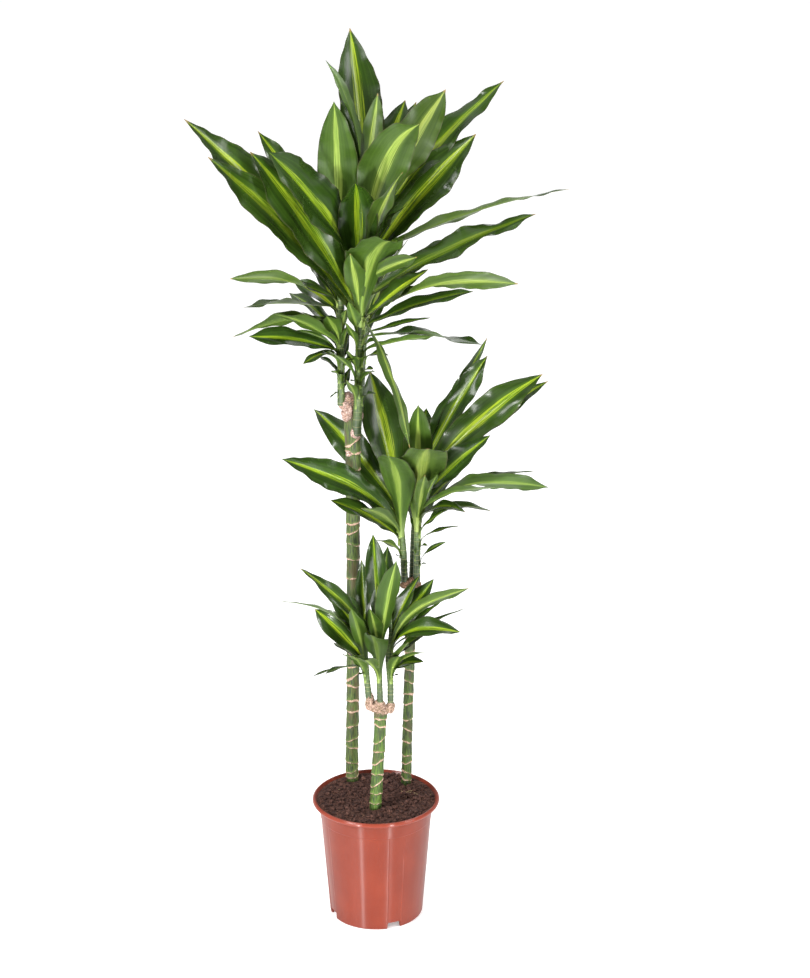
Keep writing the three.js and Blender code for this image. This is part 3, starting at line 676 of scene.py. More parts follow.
def follow(heights, values, z):
    """A smooth curve through the values at the given heights, read at the heights z."""
    heights, values, z = (np.asarray(x, float) for x in (heights, values, z))
    slope = np.gradient(values, heights)
    i = np.clip(np.searchsorted(heights, z) - 1, 0, len(heights) - 2)
    span = heights[i + 1] - heights[i]
    t = np.clip((z - heights[i]) / span, 0, 1)
    stay, come = 2 * t**3 - 3 * t**2 + 1, 3 * t**2 - 2 * t**3
    return (stay * values[i] + come * values[i + 1]
            + (t**3 - 2 * t**2 + t) * span * slope[i] + (t**3 - t**2) * span * slope[i + 1])


def scar_heights(scars, angle):
    """The height of every scar at an angle round the cane; a scar wavers and dips at its bud."""
    rows = []
    for z, slant, azimuth in scars:
        turned = angle - math.radians(azimuth)
        waver = 0.7 * math.sin(3 * angle + 7 * draw(z)) + 0.5 * math.sin(5 * angle + 5 * draw(z + 1))
        from_bud = math.remainder(turned - 6.3 * draw(z + 3), 2 * math.pi)
        dip = BUD_DEPTH * (draw(z + 2) - 0.3) * math.exp(-(from_bud / BUD_WIDTH) ** 2)
        rows.append(z + slant * math.cos(turned) + waver - dip)
    return np.array(rows)


def bark_rise(z, low, high):
    """How far the bark stands out at height z, between the scar below it and the one above."""
    taper = SCAR_RISE * (1 - (z - low) / max(high - SCAR_DROP - low, 1))
    step_out = SCAR_RISE * (1 - (high - z) / SCAR_DROP)
    lip = 0.45 * math.exp(-(min(z - low, high - z) / 1.1) ** 2)
    hollow = 0.5 * math.exp(-((high - z - 2.4) / 1.3) ** 2)
    return max(taper if high - z > SCAR_DROP else step_out, 0) + (lip - hollow)


def bark_tube(line, radius, scars):
    """Points, faces and facts of one cane's bark."""
    line, radius = planted(line, radius)
    foot, top = line[0][2], line[-1][2]
    heights = np.concatenate([[foot], np.arange(SOIL_LEVEL - BARK_BURIED, top, BARK_STEP), [top]])
    around = round_angles(BARK_SIDES)
    scars_at = [np.sort(scar_heights(scars, a)) for a in around]
    x, y = (follow(line[:, 2], line[:, c], heights) for c in (0, 1))
    r = np.interp(heights, line[:, 2], radius)
    points, facts = [], {"ring_mm": [], "above_ring_mm": [], "cut_mm": []}
    for i, z in enumerate(heights):
        for a, rings in zip(around, scars_at):
            below = np.searchsorted(rings, z) - 1
            low = rings[below] if below >= 0 else z - 30
            high = rings[below + 1] if below + 1 < len(rings) else top + 20
            c, s = math.cos(a), math.sin(a)
            wrinkle = 0.32 * rough(9 * c, 9 * s, z / 9, 2.2)
            swell = 0.35 * rough(6 * c, 6 * s, z / 2, 14)
            d = r[i] + 0.85 * bark_rise(z, low, high) + wrinkle + swell
            points.append([x[i] + d * c, y[i] + d * s, z])
            facts["ring_mm"].append(min(z - low, high - z, NEAREST))
            facts["above_ring_mm"].append(min(z - low, ABOVE))
            facts["cut_mm"].append(min(top - z, CUT))
    return points, tube_faces(len(heights), BARK_SIDES), facts


print("bark 1 mm above a scar stands out by", round(bark_rise(301, 300, 320), 2), "mm")

# %% Finish of the bark
def green_bark(name, dark, fresh, dull, cut, browned):
    """Bark with green flesh showing through: lengthwise streaks, brown patches and tan ring scars.
    The millimetres below the cut top are browned: they take the colour cut."""
    r = Recipe(name)
    along = r.place((1, 1, 0.07))
    streaks = r.grain(along, 1.6, 3, 0.6)
    patches = r.grain(r.place((1, 1, 0.4)), 16, 3, 0.55)
    speckle = r.grain(r.place((1, 1, 0.5)), 0.9, 2)
    colour = r.mix(r.ramp(streaks, 0.34, 0.68), dark, fresh)
    colour = r.mix(r.ramp(patches, 0.5, 0.68, 0, 0.75), colour, dull)
    colour = r.mix(r.ramp(speckle, 0.6, 0.72, 0, 0.35), colour, (44, 52, 26))
    near_cut = r.plus(r.fact("cut_mm"), r.times(r.less(patches, 0.5), 40))
    dried = r.mix(r.ramp(speckle, 0.4, 0.62), (48, 36, 26), cut)
    colour = r.mix(r.ramp(near_cut, browned, browned * 0.5, 0, 0.9), colour, dried)
    # paler in the first millimetres above a scar
    colour = r.mix(r.ramp(r.fact("above_ring_mm"), 6, 1, 0, 0.35), colour, (112, 136, 62))
    # the scar itself: a thin line of uneven width
    waver = r.times(r.less(r.grain(r.place((1, 1, 0.6)), 4, 3), 0.5), 2.4)
    width = r.ramp(r.grain(r.place((0.4, 0.4, 0.15)), 7, 1), 0.36, 0.74, 0.5, 2.8)
    distance = r.less(r.plus(r.fact("ring_mm"), waver), width)
    scar = r.ramp(distance, 0.35, -0.35)
    tan = r.mix(r.ramp(r.grain(r.place(), 1.4, 2), 0.35, 0.7), (126, 96, 76), (200, 172, 152))
    colour = r.mix(scar, colour, tan)
    rim = r.times(r.ramp(distance, 1.4, 0.5, 0, 0.4), r.ramp(distance, -0.2, 0.3))
    colour = r.mix(rim, colour, (70, 58, 36))
    relief = r.plus(streaks, r.times(speckle, 0.4))
    r.bump(relief, 0.5, 0.7)
    return r.finish(colour, r.ramp(streaks, 0.3, 0.7, 0.5, 0.68), Specular_IOR_Level=0.4)


# dark and fresh streaks, dull patches, the dried top and how many millimetres of it
BARK_COLOURS = {
    "cane_tall": ((24, 38, 14), (80, 98, 36), (80, 68, 42), (170, 132, 112), 50),
    "cane_middle": ((20, 32, 12), (76, 98, 34), (54, 44, 26), (104, 76, 56), 52),
    "cane_short": ((20, 38, 10), (78, 106, 28), (62, 62, 28), (96, 88, 52), 8),
}
for name, (line, radius, scars) in CANES.items():
    points, faces, facts = bark_tube(line, radius, scars)
    size = name.split("_")[1]
    bark = make_piece(f"bark_{size}", points, faces, "bark", replaces=[name], facts=facts,
                      finish=[green_bark(f"green bark, {size} cane", *BARK_COLOURS[name])], sharp=60)
    print(bark.name, len(bark.data.polygons), "faces")

# %% [markdown]
# ## Callus at the cut tops
# Where a cane was sawn off it grew a corky, lumpy collar, and the shoots break out of it. It is a
# cluster of swellings that have run together, so it is made the same way: rough balls at listed
# places, melted into one skin by a voxel remesh, smoothed, and roughened again by noise along the
# normals. Modifiers do it, and the finished mesh is then taken from them.

# %% Swellings and their common skin
# middle and half sizes of each swelling
CALLUS = {
    "cane_tall": [[-50, 79, 998, 12, 12, 9], [-57, 72, 987, 10, 10, 11], [-35, 63, 934, 10, 10, 12],
                  [-32, 94, 957, 12, 12, 12], [-47, 66, 893, 6, 5, 6], [-50, 66, 972, 11, 9, 20]],
    "cane_middle": [[66, 62, 643, 12, 12, 10], [55, 61, 640, 10, 10, 9], [76, 61, 640, 10, 10, 9],
                    [68, 74, 639, 10, 11, 10]],
    "cane_short": [[12, -46, 434, 16, 14, 9], [-10, -44, 450, 9, 9, 20], [8, -49, 446, 11, 10, 11],
                   [28, -44, 439, 9, 10, 14], [0, -47, 438, 10, 10, 9], [20, -46, 434, 10, 10, 9]],
}


CORK_VOXEL, CORK_RUB = 0.9, (0.6, 6)        # how finely it is remeshed; how much and how often smoothed


def swelling(mesh, x, y, z, a, b, c, seed):
    """Adds one rough ball to the bmesh."""
    made = bmesh.ops.create_icosphere(mesh, subdivisions=3, radius=1)["verts"]
    for v in made:
        uneven = 0.95 + 0.2 * rough(*(v.co * 10 + Vector((seed, 0, 0))), 7, 2)
        v.co = Vector((x + a * uneven * v.co.x, y + b * uneven * v.co.y, z + c * uneven * v.co.z)) * MM


def callus_mesh(name, lumps):
    """One skin round all the swellings of a callus: its points and faces."""
    mesh = bpy.data.meshes.new(name)
    cluster = bmesh.new()
    for i, lump in enumerate(lumps):
        swelling(cluster, *lump, 31 * i + 5)
    cluster.to_mesh(mesh)
    cluster.free()
    rough_piece = add(name + "_raw", mesh)
    melt = rough_piece.modifiers.new("melt together", "REMESH")
    melt.mode, melt.voxel_size = "VOXEL", CORK_VOXEL * MM
    rub = rough_piece.modifiers.new("rub smooth", "SMOOTH")
    rub.factor, rub.iterations = CORK_RUB
    shaped = bpy.data.meshes.new_from_object(rough_piece.evaluated_get(bpy.context.evaluated_depsgraph_get()))
    bpy.data.objects.remove(rough_piece)
    points = []
    for v in shaped.vertices:
        p = v.co / MM
        crack = math.exp(-(rough(*p, 9, 2) / 0.1) ** 2)
        cork = 1.3 * rough(*p, 7.5, 2) + 0.3 * abs(rough(*p, 2.2, 2)) - 1.2 * crack
        points.append(p + v.normal * cork)
    faces = [tuple(f.vertices) for f in shaped.polygons]
    return points, faces


print({name: f"{len(lumps)} swellings" for name, lumps in CALLUS.items()})

# %% Finish of the cork
def cork(name, dark, pale, flush):
    """Cork with a pink or green flush, cracked and pale on its high places."""
    r = Recipe(name)
    fine = r.grain(r.place(), 1.5, 4, 0.6)
    broad = r.grain(r.place(), 7, 3)
    fissure = r.grain(r.place((1, 1, 1.8)), 4.5, 3)
    colour = r.mix(r.ramp(fine, 0.3, 0.7), dark, pale)
    colour = r.mix(r.ramp(broad, 0.45, 0.6, 0, 0.6), colour, flush)
    crack = r.times(r.ramp(fissure, 0.42, 0.49), r.ramp(fissure, 0.56, 0.5))
    colour = r.mix(r.times(crack, 0.8), colour, (66, 48, 34))
    r.bump(fine, 1.2, 1.0)
    return r.finish(colour, r.ramp(fine, 0.3, 0.7, 0.65, 0.9), Specular_IOR_Level=0.3)


CORK_COLOURS = {
    "cane_tall": ((140, 102, 88), (218, 196, 186), (146, 112, 94)),
    "cane_middle": ((56, 40, 30), (176, 134, 108), (70, 66, 42)),
    "cane_short": ((104, 76, 60), (210, 180, 162), (110, 92, 64)),
}
for name, lumps in CALLUS.items():
    size = name.split("_")[1]
    callus = make_piece(f"callus_{size}", *callus_mesh(name, lumps), "bark",
                        finish=[cork(f"cork, {size} cane", *CORK_COLOURS[name])], sharp=80)
    print(callus.name, len(callus.data.polygons), "faces")

# %% [markdown]
# ## Where the leaves grow
# A shoot is a green stem with its leaves. The leaves that the photograph shows are listed one by one:
# how high on the stem each starts, where its tip is, how wide it is, and how it bends, rolls and
# twists. The ones on the far side can't be seen, so they follow a rule: they climb the stem and fan
# out, short and flat below, long and steep above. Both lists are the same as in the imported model,
# so each fine leaf grows exactly where its plain one was.

# %% Stems
# the cane's cut top to the growing point: centre line and radii
STEMS = {
    "shoot_tall_left": ([[-61, 70, 985], [-60, 66, 1110], [-60, 67, 1180], [-59, 69, 1235]],
                        [6.6, 6.6, 6.4, 4]),
    "shoot_tall_front": ([[-33, 62, 930], [-27, 53, 1060], [-25, 50, 1186], [-23, 50, 1345]],
                         [8.2, 7.8, 7, 4.5]),
    "shoot_tall_back": ([[-28, 98, 955], [-22, 106, 1080], [-14, 111, 1190], [-5, 112, 1360]],
                        [6.5, 6.5, 6.5, 4.5]),
    "shoot_middle_left": ([[54, 62, 640], [52, 60, 700], [47, 58, 755], [45, 57, 825]],
                          [6.5, 6, 6, 4]),
    "shoot_middle_right": ([[76, 62, 640], [77, 60, 700], [78, 58, 800], [81, 58, 870]],
                           [6.5, 6, 6, 4]),
    "shoot_middle_back": ([[68, 78, 640], [71, 90, 720], [75, 97, 790], [78, 99, 860]],
                          [6, 6, 6, 4]),
    "shoot_short_left": ([[-11, -44, 452], [-15, -45, 490], [-18, -46, 535], [-17, -48, 590]],
                         [6, 5.6, 5.4, 3]),
    "shoot_short_centre": ([[9, -50, 450], [8, -52, 490], [7, -50, 545], [10, -48, 600]],
                           [5.5, 5, 5.5, 3]),
    "shoot_short_right": ([[28, -44, 443], [28, -45, 485], [25, -46, 535], [29, -42, 590]],
                          [5.5, 5.4, 6.2, 3]),
}
LEAF_ROOT = 0.45        # where a leaf starts, from the stem's middle (0) to its skin (1)
print("stem lengths, mm:", {name: line[-1][2] - line[0][2] for name, (line, _) in STEMS.items()})

# %% Leaves that the photograph shows
# height on the stem, tip x, y, z, width, lift and droop in percent, roll and twist in degrees
LEAVES = {
    "shoot_tall_left": [
        (1225, -66, -35, 1557, 74, 5, 25, 0, 0), (1215, -206, 135, 1472, 50, 10, 20, -35, 0),
        (1180, -252, 0, 1238, 38, 25, 30, -31, 110), (1160, -145, 110, 1205, 36, 15, 20, -30, 0),
        (1165, -236, 95, 1160, 42, 15, 20, 10, 0), (1140, -247, -30, 1141, 40, 35, 25, 30, 20),
        (1085, -222, 20, 1128, 46, 25, 12, -35, 0), (1100, -173, -20, 1180, 40, 15, 15, 30, 0),
        (1085, -127, 30, 1074, 20, 35, 30, -20, 0), (1100, -130, 60, 1161, 12, 30, 40, 0, 60),
        (1095, -97, 110, 1140, 44, 20, 20, -20, 0), (1110, -84, 20, 1165, 32, 12, 10, 30, 0),
        (1065, -95, 25, 1095, 18, 30, 30, 0, 0), (1045, -100, 90, 1070, 16, 30, 20, 0, 0),
        (1060, -46, 84, 1118, 20, 10, 5, 0, 0), (1005, -44, 90, 1050, 18, 20, 10, 0, 0),
        (1120, -50, 40, 1172, 16, 12, 5, 0, 0), (1082, -47, 52, 1140, 20, 12, 5, 10, 0),
    ],
    "shoot_tall_front": [
        (1225, -30, -50, 1420, 72, 8, 58, 175, 10), (1150, 42, -165, 1345, 98, 55, 62, 0, 0),
        (1160, 63, -130, 970, 29, 50, 40, 140, 20), (1150, -322, -20, 1524, 78, 14, 14, -62, 10),
        (1160, -281, -50, 1465, 72, 12, 12, -62, 0), (1165, -208, -65, 1477, 92, 10, 12, -74, 0),
        (1245, -174, -105, 1485, 96, 12, 12, -70, 0), (1185, 285, 60, 1340, 56, 15, 12, 40, -20),
        (1150, 250, -80, 1250, 46, 35, 35, 30, -115), (1135, 175, 20, 1210, 36, 12, 18, 25, 0),
        (1145, 95, 0, 1255, 48, 10, 5, 35, 0), (1120, 100, 10, 1165, 16, 10, 10, 20, 0),
        (1115, 190, -60, 1135, 46, 25, 15, -10, 0), (1090, 105, -20, 1140, 30, 15, 5, -30, 0),
        (1295, 80, -60, 1524, 88, 10, 56, -35, 0), (1330, 8, 10, 1563, 44, 5, 0, -60, 0),
        (1215, 75, -50, 1290, 34, 20, 10, -50, 0), (1220, 51, -60, 1441, 46, 10, 30, 10, 0),
        (1165, -40, -45, 1295, 40, 12, 5, 0, 0), (1075, 25, -5, 1100, 22, 30, 30, 10, 0),
        (1095, -52, 20, 1154, 20, 15, 10, 0, 0), (1120, -45, 25, 1190, 24, 12, 5, 20, 0),
        (1050, -48, 20, 1102, 22, 15, 10, 0, 0), (995, -50, 24, 1046, 20, 20, 15, 0, 0),
        (1040, -82, 10, 1104, 20, 20, 20, 10, 0), (1035, 0, -10, 1073, 18, 20, 10, 0, 0),
    ],
    "shoot_tall_back": [
        (1325, -43, 190, 1645, 86, 4, 3, 0, 0), (1325, -84, 120, 1600, 28, 5, 40, 8, 50),
        (1345, 55, 200, 1515, 60, 10, 5, 20, 0), (1315, 125, 60, 1560, 82, 10, 5, -62, 0),
        (1290, 230, 170, 1555, 54, 15, 15, 45, -10), (1240, 180, 120, 1470, 88, 10, 6, 48, 0),
        (1255, 345, 60, 1385, 34, 12, 15, -60, 50), (1255, 60, 60, 1360, 40, 5, 5, 30, 0),
        (1150, 60, 75, 1290, 44, 10, 8, 20, 0),
    ],
    "shoot_middle_left": [
        (755, -167, 10, 902, 62, 40, 18, -45, 0), (785, -115, 200, 935, 58, 15, 20, -40, 0),
        (730, -81, 20, 820, 42, 20, 15, -30, 0), (745, -24, -30, 822, 28, 20, 25, 40, 0),
        (775, -16, 110, 805, 30, 10, 10, -40, 0), (705, 3, 40, 735, 18, 20, 20, 40, 0),
        (748, 23, -100, 945, 72, 42, 50, -12, 0), (805, -10, 152, 1024, 80, 6, 5, -15, 0),
    ],
    "shoot_middle_right": [
        (795, 78, -30, 1016, 54, 5, 2, 0, 0), (758, 95, -130, 968, 94, 44, 42, 0, 0),
        (845, 304, 90, 1037, 68, 12, 15, 50, 0), (805, 208, 30, 940, 54, 10, 8, 45, 0),
        (795, 307, -90, 883, 46, 35, 30, 0, -80), (795, 286, -40, 896, 28, 25, 20, 0, -40),
        (780, 222, -120, 894, 26, 35, 15, -30, 0), (775, 211, 30, 795, 26, 30, 40, 10, 0),
        (770, 163, -20, 811, 28, 40, 60, 20, 0), (745, 140, 0, 815, 32, 10, 5, 30, 0),
        (730, 155, 20, 770, 14, 15, 15, 10, 0), (770, 90, -60, 895, 26, 8, 5, 0, 0),
        (775, 112, -40, 890, 28, 8, 5, 15, 0), (738, 60, 74, 812, 28, 12, 6, -10, 0),
    ],
    "shoot_middle_back": [
        (835, 205, 130, 1060, 54, 8, 8, 40, 0), (830, 205, 160, 1085, 30, 10, 5, 80, 0),
        (830, 316, 125, 1013, 46, 12, 15, 50, 0), (840, 125, 140, 951, 26, 10, 5, 40, 0),
    ],
    "shoot_short_left": [
        (545, -171, -100, 671, 26, 62, 48, -30, 60), (535, -110, -10, 619, 48, 10, 10, -45, 0),
        (525, -42, -110, 661, 28, 20, 15, 20, 0), (565, -82, -10, 648, 36, 15, 20, -30, 0),
        (580, -25, 30, 700, 28, 5, 5, -10, 0), (520, -115, -70, 510, 11, 25, 30, 10, 0),
        (520, -90, -90, 525, 18, 25, 30, 10, 0), (515, -55, -120, 575, 32, 25, 15, 10, 0),
        (502, -40, -90, 560, 26, 25, 20, 10, 0),
    ],
    "shoot_short_centre": [
        (585, -4, 40, 746, 42, 6, 4, 0, 0), (590, 23, 50, 719, 34, 6, 4, 20, 0),
        (550, 39, -100, 748, 46, 10, 4, -10, 0), (510, -6, -130, 618, 44, 42, 44, 0, 0),
        (555, -8, -85, 650, 30, 10, 5, 0, 0), (560, -133, -75, 724, 34, 20, 16, -40, 0),
        (504, -34, -172, 592, 34, 25, 20, 0, 0),
    ],
    "shoot_short_right": [
        (560, 107, 0, 674, 42, 25, 10, 30, 0), (560, 169, -100, 696, 34, 60, 28, -50, 0),
        (560, 154, -90, 607, 46, 70, 35, 25, 0), (555, 165, -20, 625, 16, 15, 15, 0, 0),
        (535, 104, -20, 587, 18, 5, 10, 10, 0), (515, 92, -120, 581, 28, 25, 15, -10, 0),
        (508, 88, -84, 546, 32, 35, 30, 20, 0), (570, 53, 10, 632, 36, 6, 5, 20, 0),
        (515, 60, -110, 595, 28, 15, 5, 10, 0), (500, 44, -95, 562, 26, 20, 15, -10, 0),
    ],
}
print(sum(map(len, LEAVES.values())), "leaves that the photograph shows")

# %% Leaves on the far side, by rule
# how many, lowest and highest start, first and last direction from +X, greatest reach and width
FAR_SIDE = {
    "shoot_tall_left": (4, (1110, 1205), (100, 155), 190, 50),
    "shoot_tall_back": (7, (1090, 1290), (20, 110), 275, 64),
    "shoot_middle_left": (2, (735, 790), (118, 140), 190, 48),
    "shoot_middle_back": (6, (735, 830), (25, 98), 150, 46),
    "shoot_short_left": (3, (520, 575), (120, 160), 100, 32),
    "shoot_short_centre": (3, (530, 585), (78, 104), 115, 32),
    "shoot_short_right": (3, (530, 585), (5, 42), 125, 34),
}
GOLDEN = 0.618          # steps of this share spread the directions evenly, however many there are
RISE, STEEPER, UNEVEN = 18, 38, 8       # degrees: the lowest leaf's rise, what height and chance add


def stem_at(name, z):
    """The stem's middle and radius at height z, on the straight lines between its points."""
    line, radii = STEMS[name]
    line = np.array(line, float)
    x, y = (np.interp(z, line[:, 2], line[:, c]) for c in (0, 1))
    return np.array([x, y, z], float), float(np.interp(z, line[:, 2], radii))


def far_side_leaves(name):
    """Rows for the unseen leaves, in the same form as the listed ones."""
    if name not in FAR_SIDE:
        return []
    count, (low, high), (first, last), reach, width = FAR_SIDE[name]
    rows = []
    for i in range(count):
        seed, up = reach + 31 * i, i / (count - 1)
        height = low + (high - low) * up
        azimuth = math.radians(first + (last - first) * (GOLDEN * (i + 1) % 1))
        rise = math.radians(RISE + STEEPER * up + UNEVEN * draw(seed))
        length = reach * (0.62 + 0.38 * math.sin(math.pi * (0.15 + 0.55 * up)))
        level = math.cos(rise)
        tip = stem_at(name, height)[0] + length * np.array(
            [level * math.cos(azimuth), level * math.sin(azimuth), math.sin(rise)])
        rows.append((height, *tip, width * (0.7 + 0.3 * up), 22 - 12 * up, 25 - 15 * up,
                     -10 + 20 * draw(seed + 3), 0))
    return rows


leaf_rows = {name: [*LEAVES[name], *far_side_leaves(name)] for name in STEMS}
print(sum(map(len, leaf_rows.values())), "leaves on", len(STEMS), "stems")

# %% [markdown]
# ## One leaf
# A leaf starts as a narrow sheath wrapped round the stem, opens into a shallow gutter, grows broad,
# and ends in a fine point; its edges wave because they grow faster than the middle. So the blade is
# a grid of points: along it runs a Bezier curve, the rib, and across it every row is folded, rolled
# and rippled by an amount that changes along the leaf. The upper and the lower face are two such
# grids, thick at the rib and thin at the edge, because a leaf of no thickness has no solid to print
# or to weigh. A Solidify modifier could do it too, with a vertex group that thins the edges out, but
# here the thickness is one short formula.

# %% The rib and the width
WIDEST, BEYOND = 0.54, 0.46     # shares of a leaf up to where it is widest, and beyond it
HANDLE = 0.35                   # length of the rib's two Bezier handles, as a share of the whole


def share_of_width(t):
    """Share of the full width at t along the leaf: a narrow base, a long body, a drawn-out point."""
    base = 0.2 + 0.8 * smooth(t, -0.04, WIDEST)
    past = np.maximum(t - WIDEST, 0) / BEYOND
    return base * (1 - past**2.3) * (1 - 0.3 * smooth(t, 0.93, 0.99))


def rib_curve(base, tip, lift, droop, t):
    """The rib's points and directions, the way to the leaf's left, and the length from base to tip."""
    chord = tip - base
    length = np.linalg.norm(chord)
    side = np.cross((0, 0, 1), unit(np.array([chord[0], chord[1], 0])))
    above = unit(np.cross(chord, side))
    p1 = base + HANDLE * (chord + lift / 100 * length * above)
    p2 = tip - HANDLE * (chord - droop / 100 * length * above)
    t = t[:, None]
    points = (1 - t) ** 3 * base + 3 * t * (1 - t) ** 2 * p1 + 3 * t * t * (1 - t) * p2 + t**3 * tip
    along = (1 - t) ** 2 * (p1 - base) + 2 * t * (1 - t) * (p2 - p1) + t * t * (tip - p2)
    return points, along / np.linalg.norm(along, axis=1)[:, None], side, length


def turned_frame(along, side, roll, twist, t):
    """At every point of the rib, the way across the leaf and the way out of its upper face."""
    flat = side - (along @ side)[:, None] * along
    flat /= np.linalg.norm(flat, axis=1)[:, None]
    up = np.cross(along, flat)
    turn = np.radians(roll + twist * smooth(t, 0.1, 0.9))[:, None]
    return flat * np.cos(turn) + up * np.sin(turn), up * np.cos(turn) - flat * np.sin(turn)


print("width along a leaf:", [round(float(share_of_width(t)), 2) for t in (0, 0.25, 0.5, 0.75, 1)])

# %% Fold, waves and thickness
FOLD, WAVE, CRINKLE, FACET = 22, 5.5, 1.8, 60      # degrees, then millimetres; a facet holds half a wave
THIN_EDGE, RIB_MORE, BASE_MORE = 0.35, 0.55, 1.3   # thickness at the edge, and how much more there is


def folded(tt, q, half, width, length, seed, liveliness):
    """The angle of the fold at the rib, and how far each point is lifted by fold, waves and crinkle.
    tt goes along the leaf and q across it, from -1 to 1."""
    edge = np.abs(q)
    fold = np.radians(FOLD) * (1.25 - 0.75 * smooth(tt, 0.1, 0.8))      # flatter towards the point
    facets = min(max(round(length / FACET), 3), 4 if width < 32 else 6)
    waves = liveliness * WAVE * (0.6 + 0.8 * draw(seed)) * min(width / 55, 1)
    ripple = waves * smooth(tt, 0.12, 0.35) * (1 - smooth(tt, 0.85, 1))
    phase = math.pi * (facets * tt + 0.5) + q * (0.6 + draw(seed + 7))
    crinkle = liveliness * CRINKLE * min(width / 60, 1) * smooth(tt, 0.08, 0.3) * (1 - smooth(tt, 0.9, 1))
    quick = 2 * math.pi * tt * length / (31 + 14 * draw(seed + 9)) + 2.6 * np.sign(q) + 6 * draw(seed + 8)
    return fold, (edge * half * np.sin(fold) + edge**1.5 * ripple * np.sin(phase)
                  + edge**3 * crinkle * np.sin(quick) + 0.05 * half * np.sin(math.pi * edge))


def thickness(tt, q):
    """Thick at the rib and the base, thin at the edge and the point."""
    inner = 1 - np.abs(q)
    rib = THIN_EDGE + RIB_MORE * inner * (1 - 0.7 * tt)
    return rib + BASE_MORE * inner * (1 - smooth(tt, 0, 0.1))


def blade_faces(rows, columns):
    """Faces of a blade: its upper grid of points comes first, and its lower one follows."""
    under = (rows + 1) * columns
    faces = [f[::-1] for f in grid_faces(rows + 1, columns)] + grid_faces(rows + 1, columns, start=under)
    for i in range(rows):
        a, b = i * columns, (i + 1) * columns
        c, d = a + columns - 1, b + columns - 1
        faces += [(a, a + under, b + under, b), (c, d, d + under, c + under)]
    for k in range(columns - 1):
        end = rows * columns + k
        faces += [(k, k + 1, k + 1 + under, k + under), (end, end + under, end + 1 + under, end + 1)]
    return faces


print("faces of a small blade:", len(blade_faces(12, 10)))

# %% The blade
SHEATH_DROP, SHEATH_OPENS = 12, 34      # how far it starts below its height, and where it has let go
# places across the leaf, closer together at the rib and at the edges
ACROSS_WIDE = (-1, -0.93, -0.82, -0.68, -0.52, -0.36, -0.2, -0.07, 0.07, 0.2, 0.36, 0.52, 0.68, 0.82, 0.93, 1)
ACROSS_NARROW = (-1, -0.85, -0.6, -0.32, -0.08, 0.08, 0.32, 0.6, 0.85, 1)
NARROW = 26                             # a leaf no wider than this takes the shorter row
ROW_EVERY, ROWS = 6.5, (12, 64)         # spacing of the rows along a leaf, and fewest and most of them


def blade(name, row, seed, liveliness=1.0):
    """One leaf: its points, faces, and what the finish reads at each point."""
    height, tip, (width, lift, droop, roll, twist) = row[0], np.array(row[1:4], float), row[4:]
    axis, radius = stem_at(name, height)
    heading = math.atan2(tip[1] - axis[1], tip[0] - axis[0])
    base = axis + radius * LEAF_ROOT * np.array([math.cos(heading), math.sin(heading), 0])
    rows = int(np.clip(round(np.linalg.norm(tip - base) / ROW_EVERY), *ROWS))
    t = np.linspace(0, 1, rows + 1)
    rib, along, side, length = rib_curve(base, tip, lift, droop, t)
    across, normal = turned_frame(along, side, roll, twist, t)

    q = np.array(ACROSS_WIDE if width > NARROW else ACROSS_NARROW)[None, :]
    tt, far = t[:, None], t[:, None] * length
    half = width / 2 * share_of_width(tt) + 0.3
    fold, lifted = folded(tt, q, half, width, length, seed, liveliness)
    thick = thickness(tt, q)
    middle = (rib[:, None, :] + across[:, None, :] * (q * half * np.cos(fold))[..., None]
              + normal[:, None, :] * lifted[..., None])
    shift = normal[:, None, :] * (thick / 2)[..., None]

    # the sheath: the first rows lie round the stem and let go of it
    opens = min(SHEATH_OPENS, 0.25 * length)
    hold = (1 - smooth(far, 0.12 * opens, opens))[..., None]
    bend = heading + q * half / (radius + 1.5)
    out = np.stack([np.cos(bend), np.sin(bend), 0 * bend], -1)
    skin_radius = radius + 0.3 + thick / 2
    low = height - SHEATH_DROP + 0.8 * far + 0 * q
    round_stem = out * skin_radius[..., None] + np.stack([axis[0] + 0 * low, axis[1] + 0 * low, low], -1)
    middle = hold * round_stem + (1 - hold) * middle
    shift = hold * -out * (thick / 2)[..., None] + (1 - hold) * shift

    points = np.concatenate([(middle + shift).reshape(-1, 3), (middle - shift).reshape(-1, 3)])
    count = len(points) // 2
    grid = np.broadcast_arrays((q + 1) / 2, tt, hold[..., 0])
    place, held = np.stack([grid[0].ravel(), grid[1].ravel()], 1), grid[2].ravel()
    facts = {
        "underside": np.repeat([0.0, 1.0], count),
        "sheath": np.tile(held, 2),
        **{fact: np.full(2 * count, number) for fact, number in {
            "leaf_draw": draw(seed + 11), "leaf_width": width, "leaf_length": length,
            "band_left": 1.0, "ring_mm": float(NEAREST)}.items()},
    }
    return points, blade_faces(rows, q.shape[1]), np.tile(place, (2, 1)), facts


sample = blade("shoot_tall_front", leaf_rows["shoot_tall_front"][1], 5)
print("one long leaf:", len(sample[0]), "points,", len(sample[1]), "faces")

# %% [markdown]
# ## Stem and shoot
# The stem is what the old leaf sheaths have left: green, ringed at every few millimetres. At its top
# stands the spear, the next leaf, still rolled up. Stem, spear and leaves grew as one, so they are
# joined into one piece, with a stem finish and a leaf finish on its faces.

# %% A stem with its spear
STEM_SIDES, STEM_STEP = 22, 1.6
RING_PITCH, RING_SPREAD, RING_RISE = 6.5, 3, 0.5        # least spacing, what chance adds, and height
SPEAR, SHORT_SPEARS = 55, {"shoot_short_left": 24}      # its length above the stem


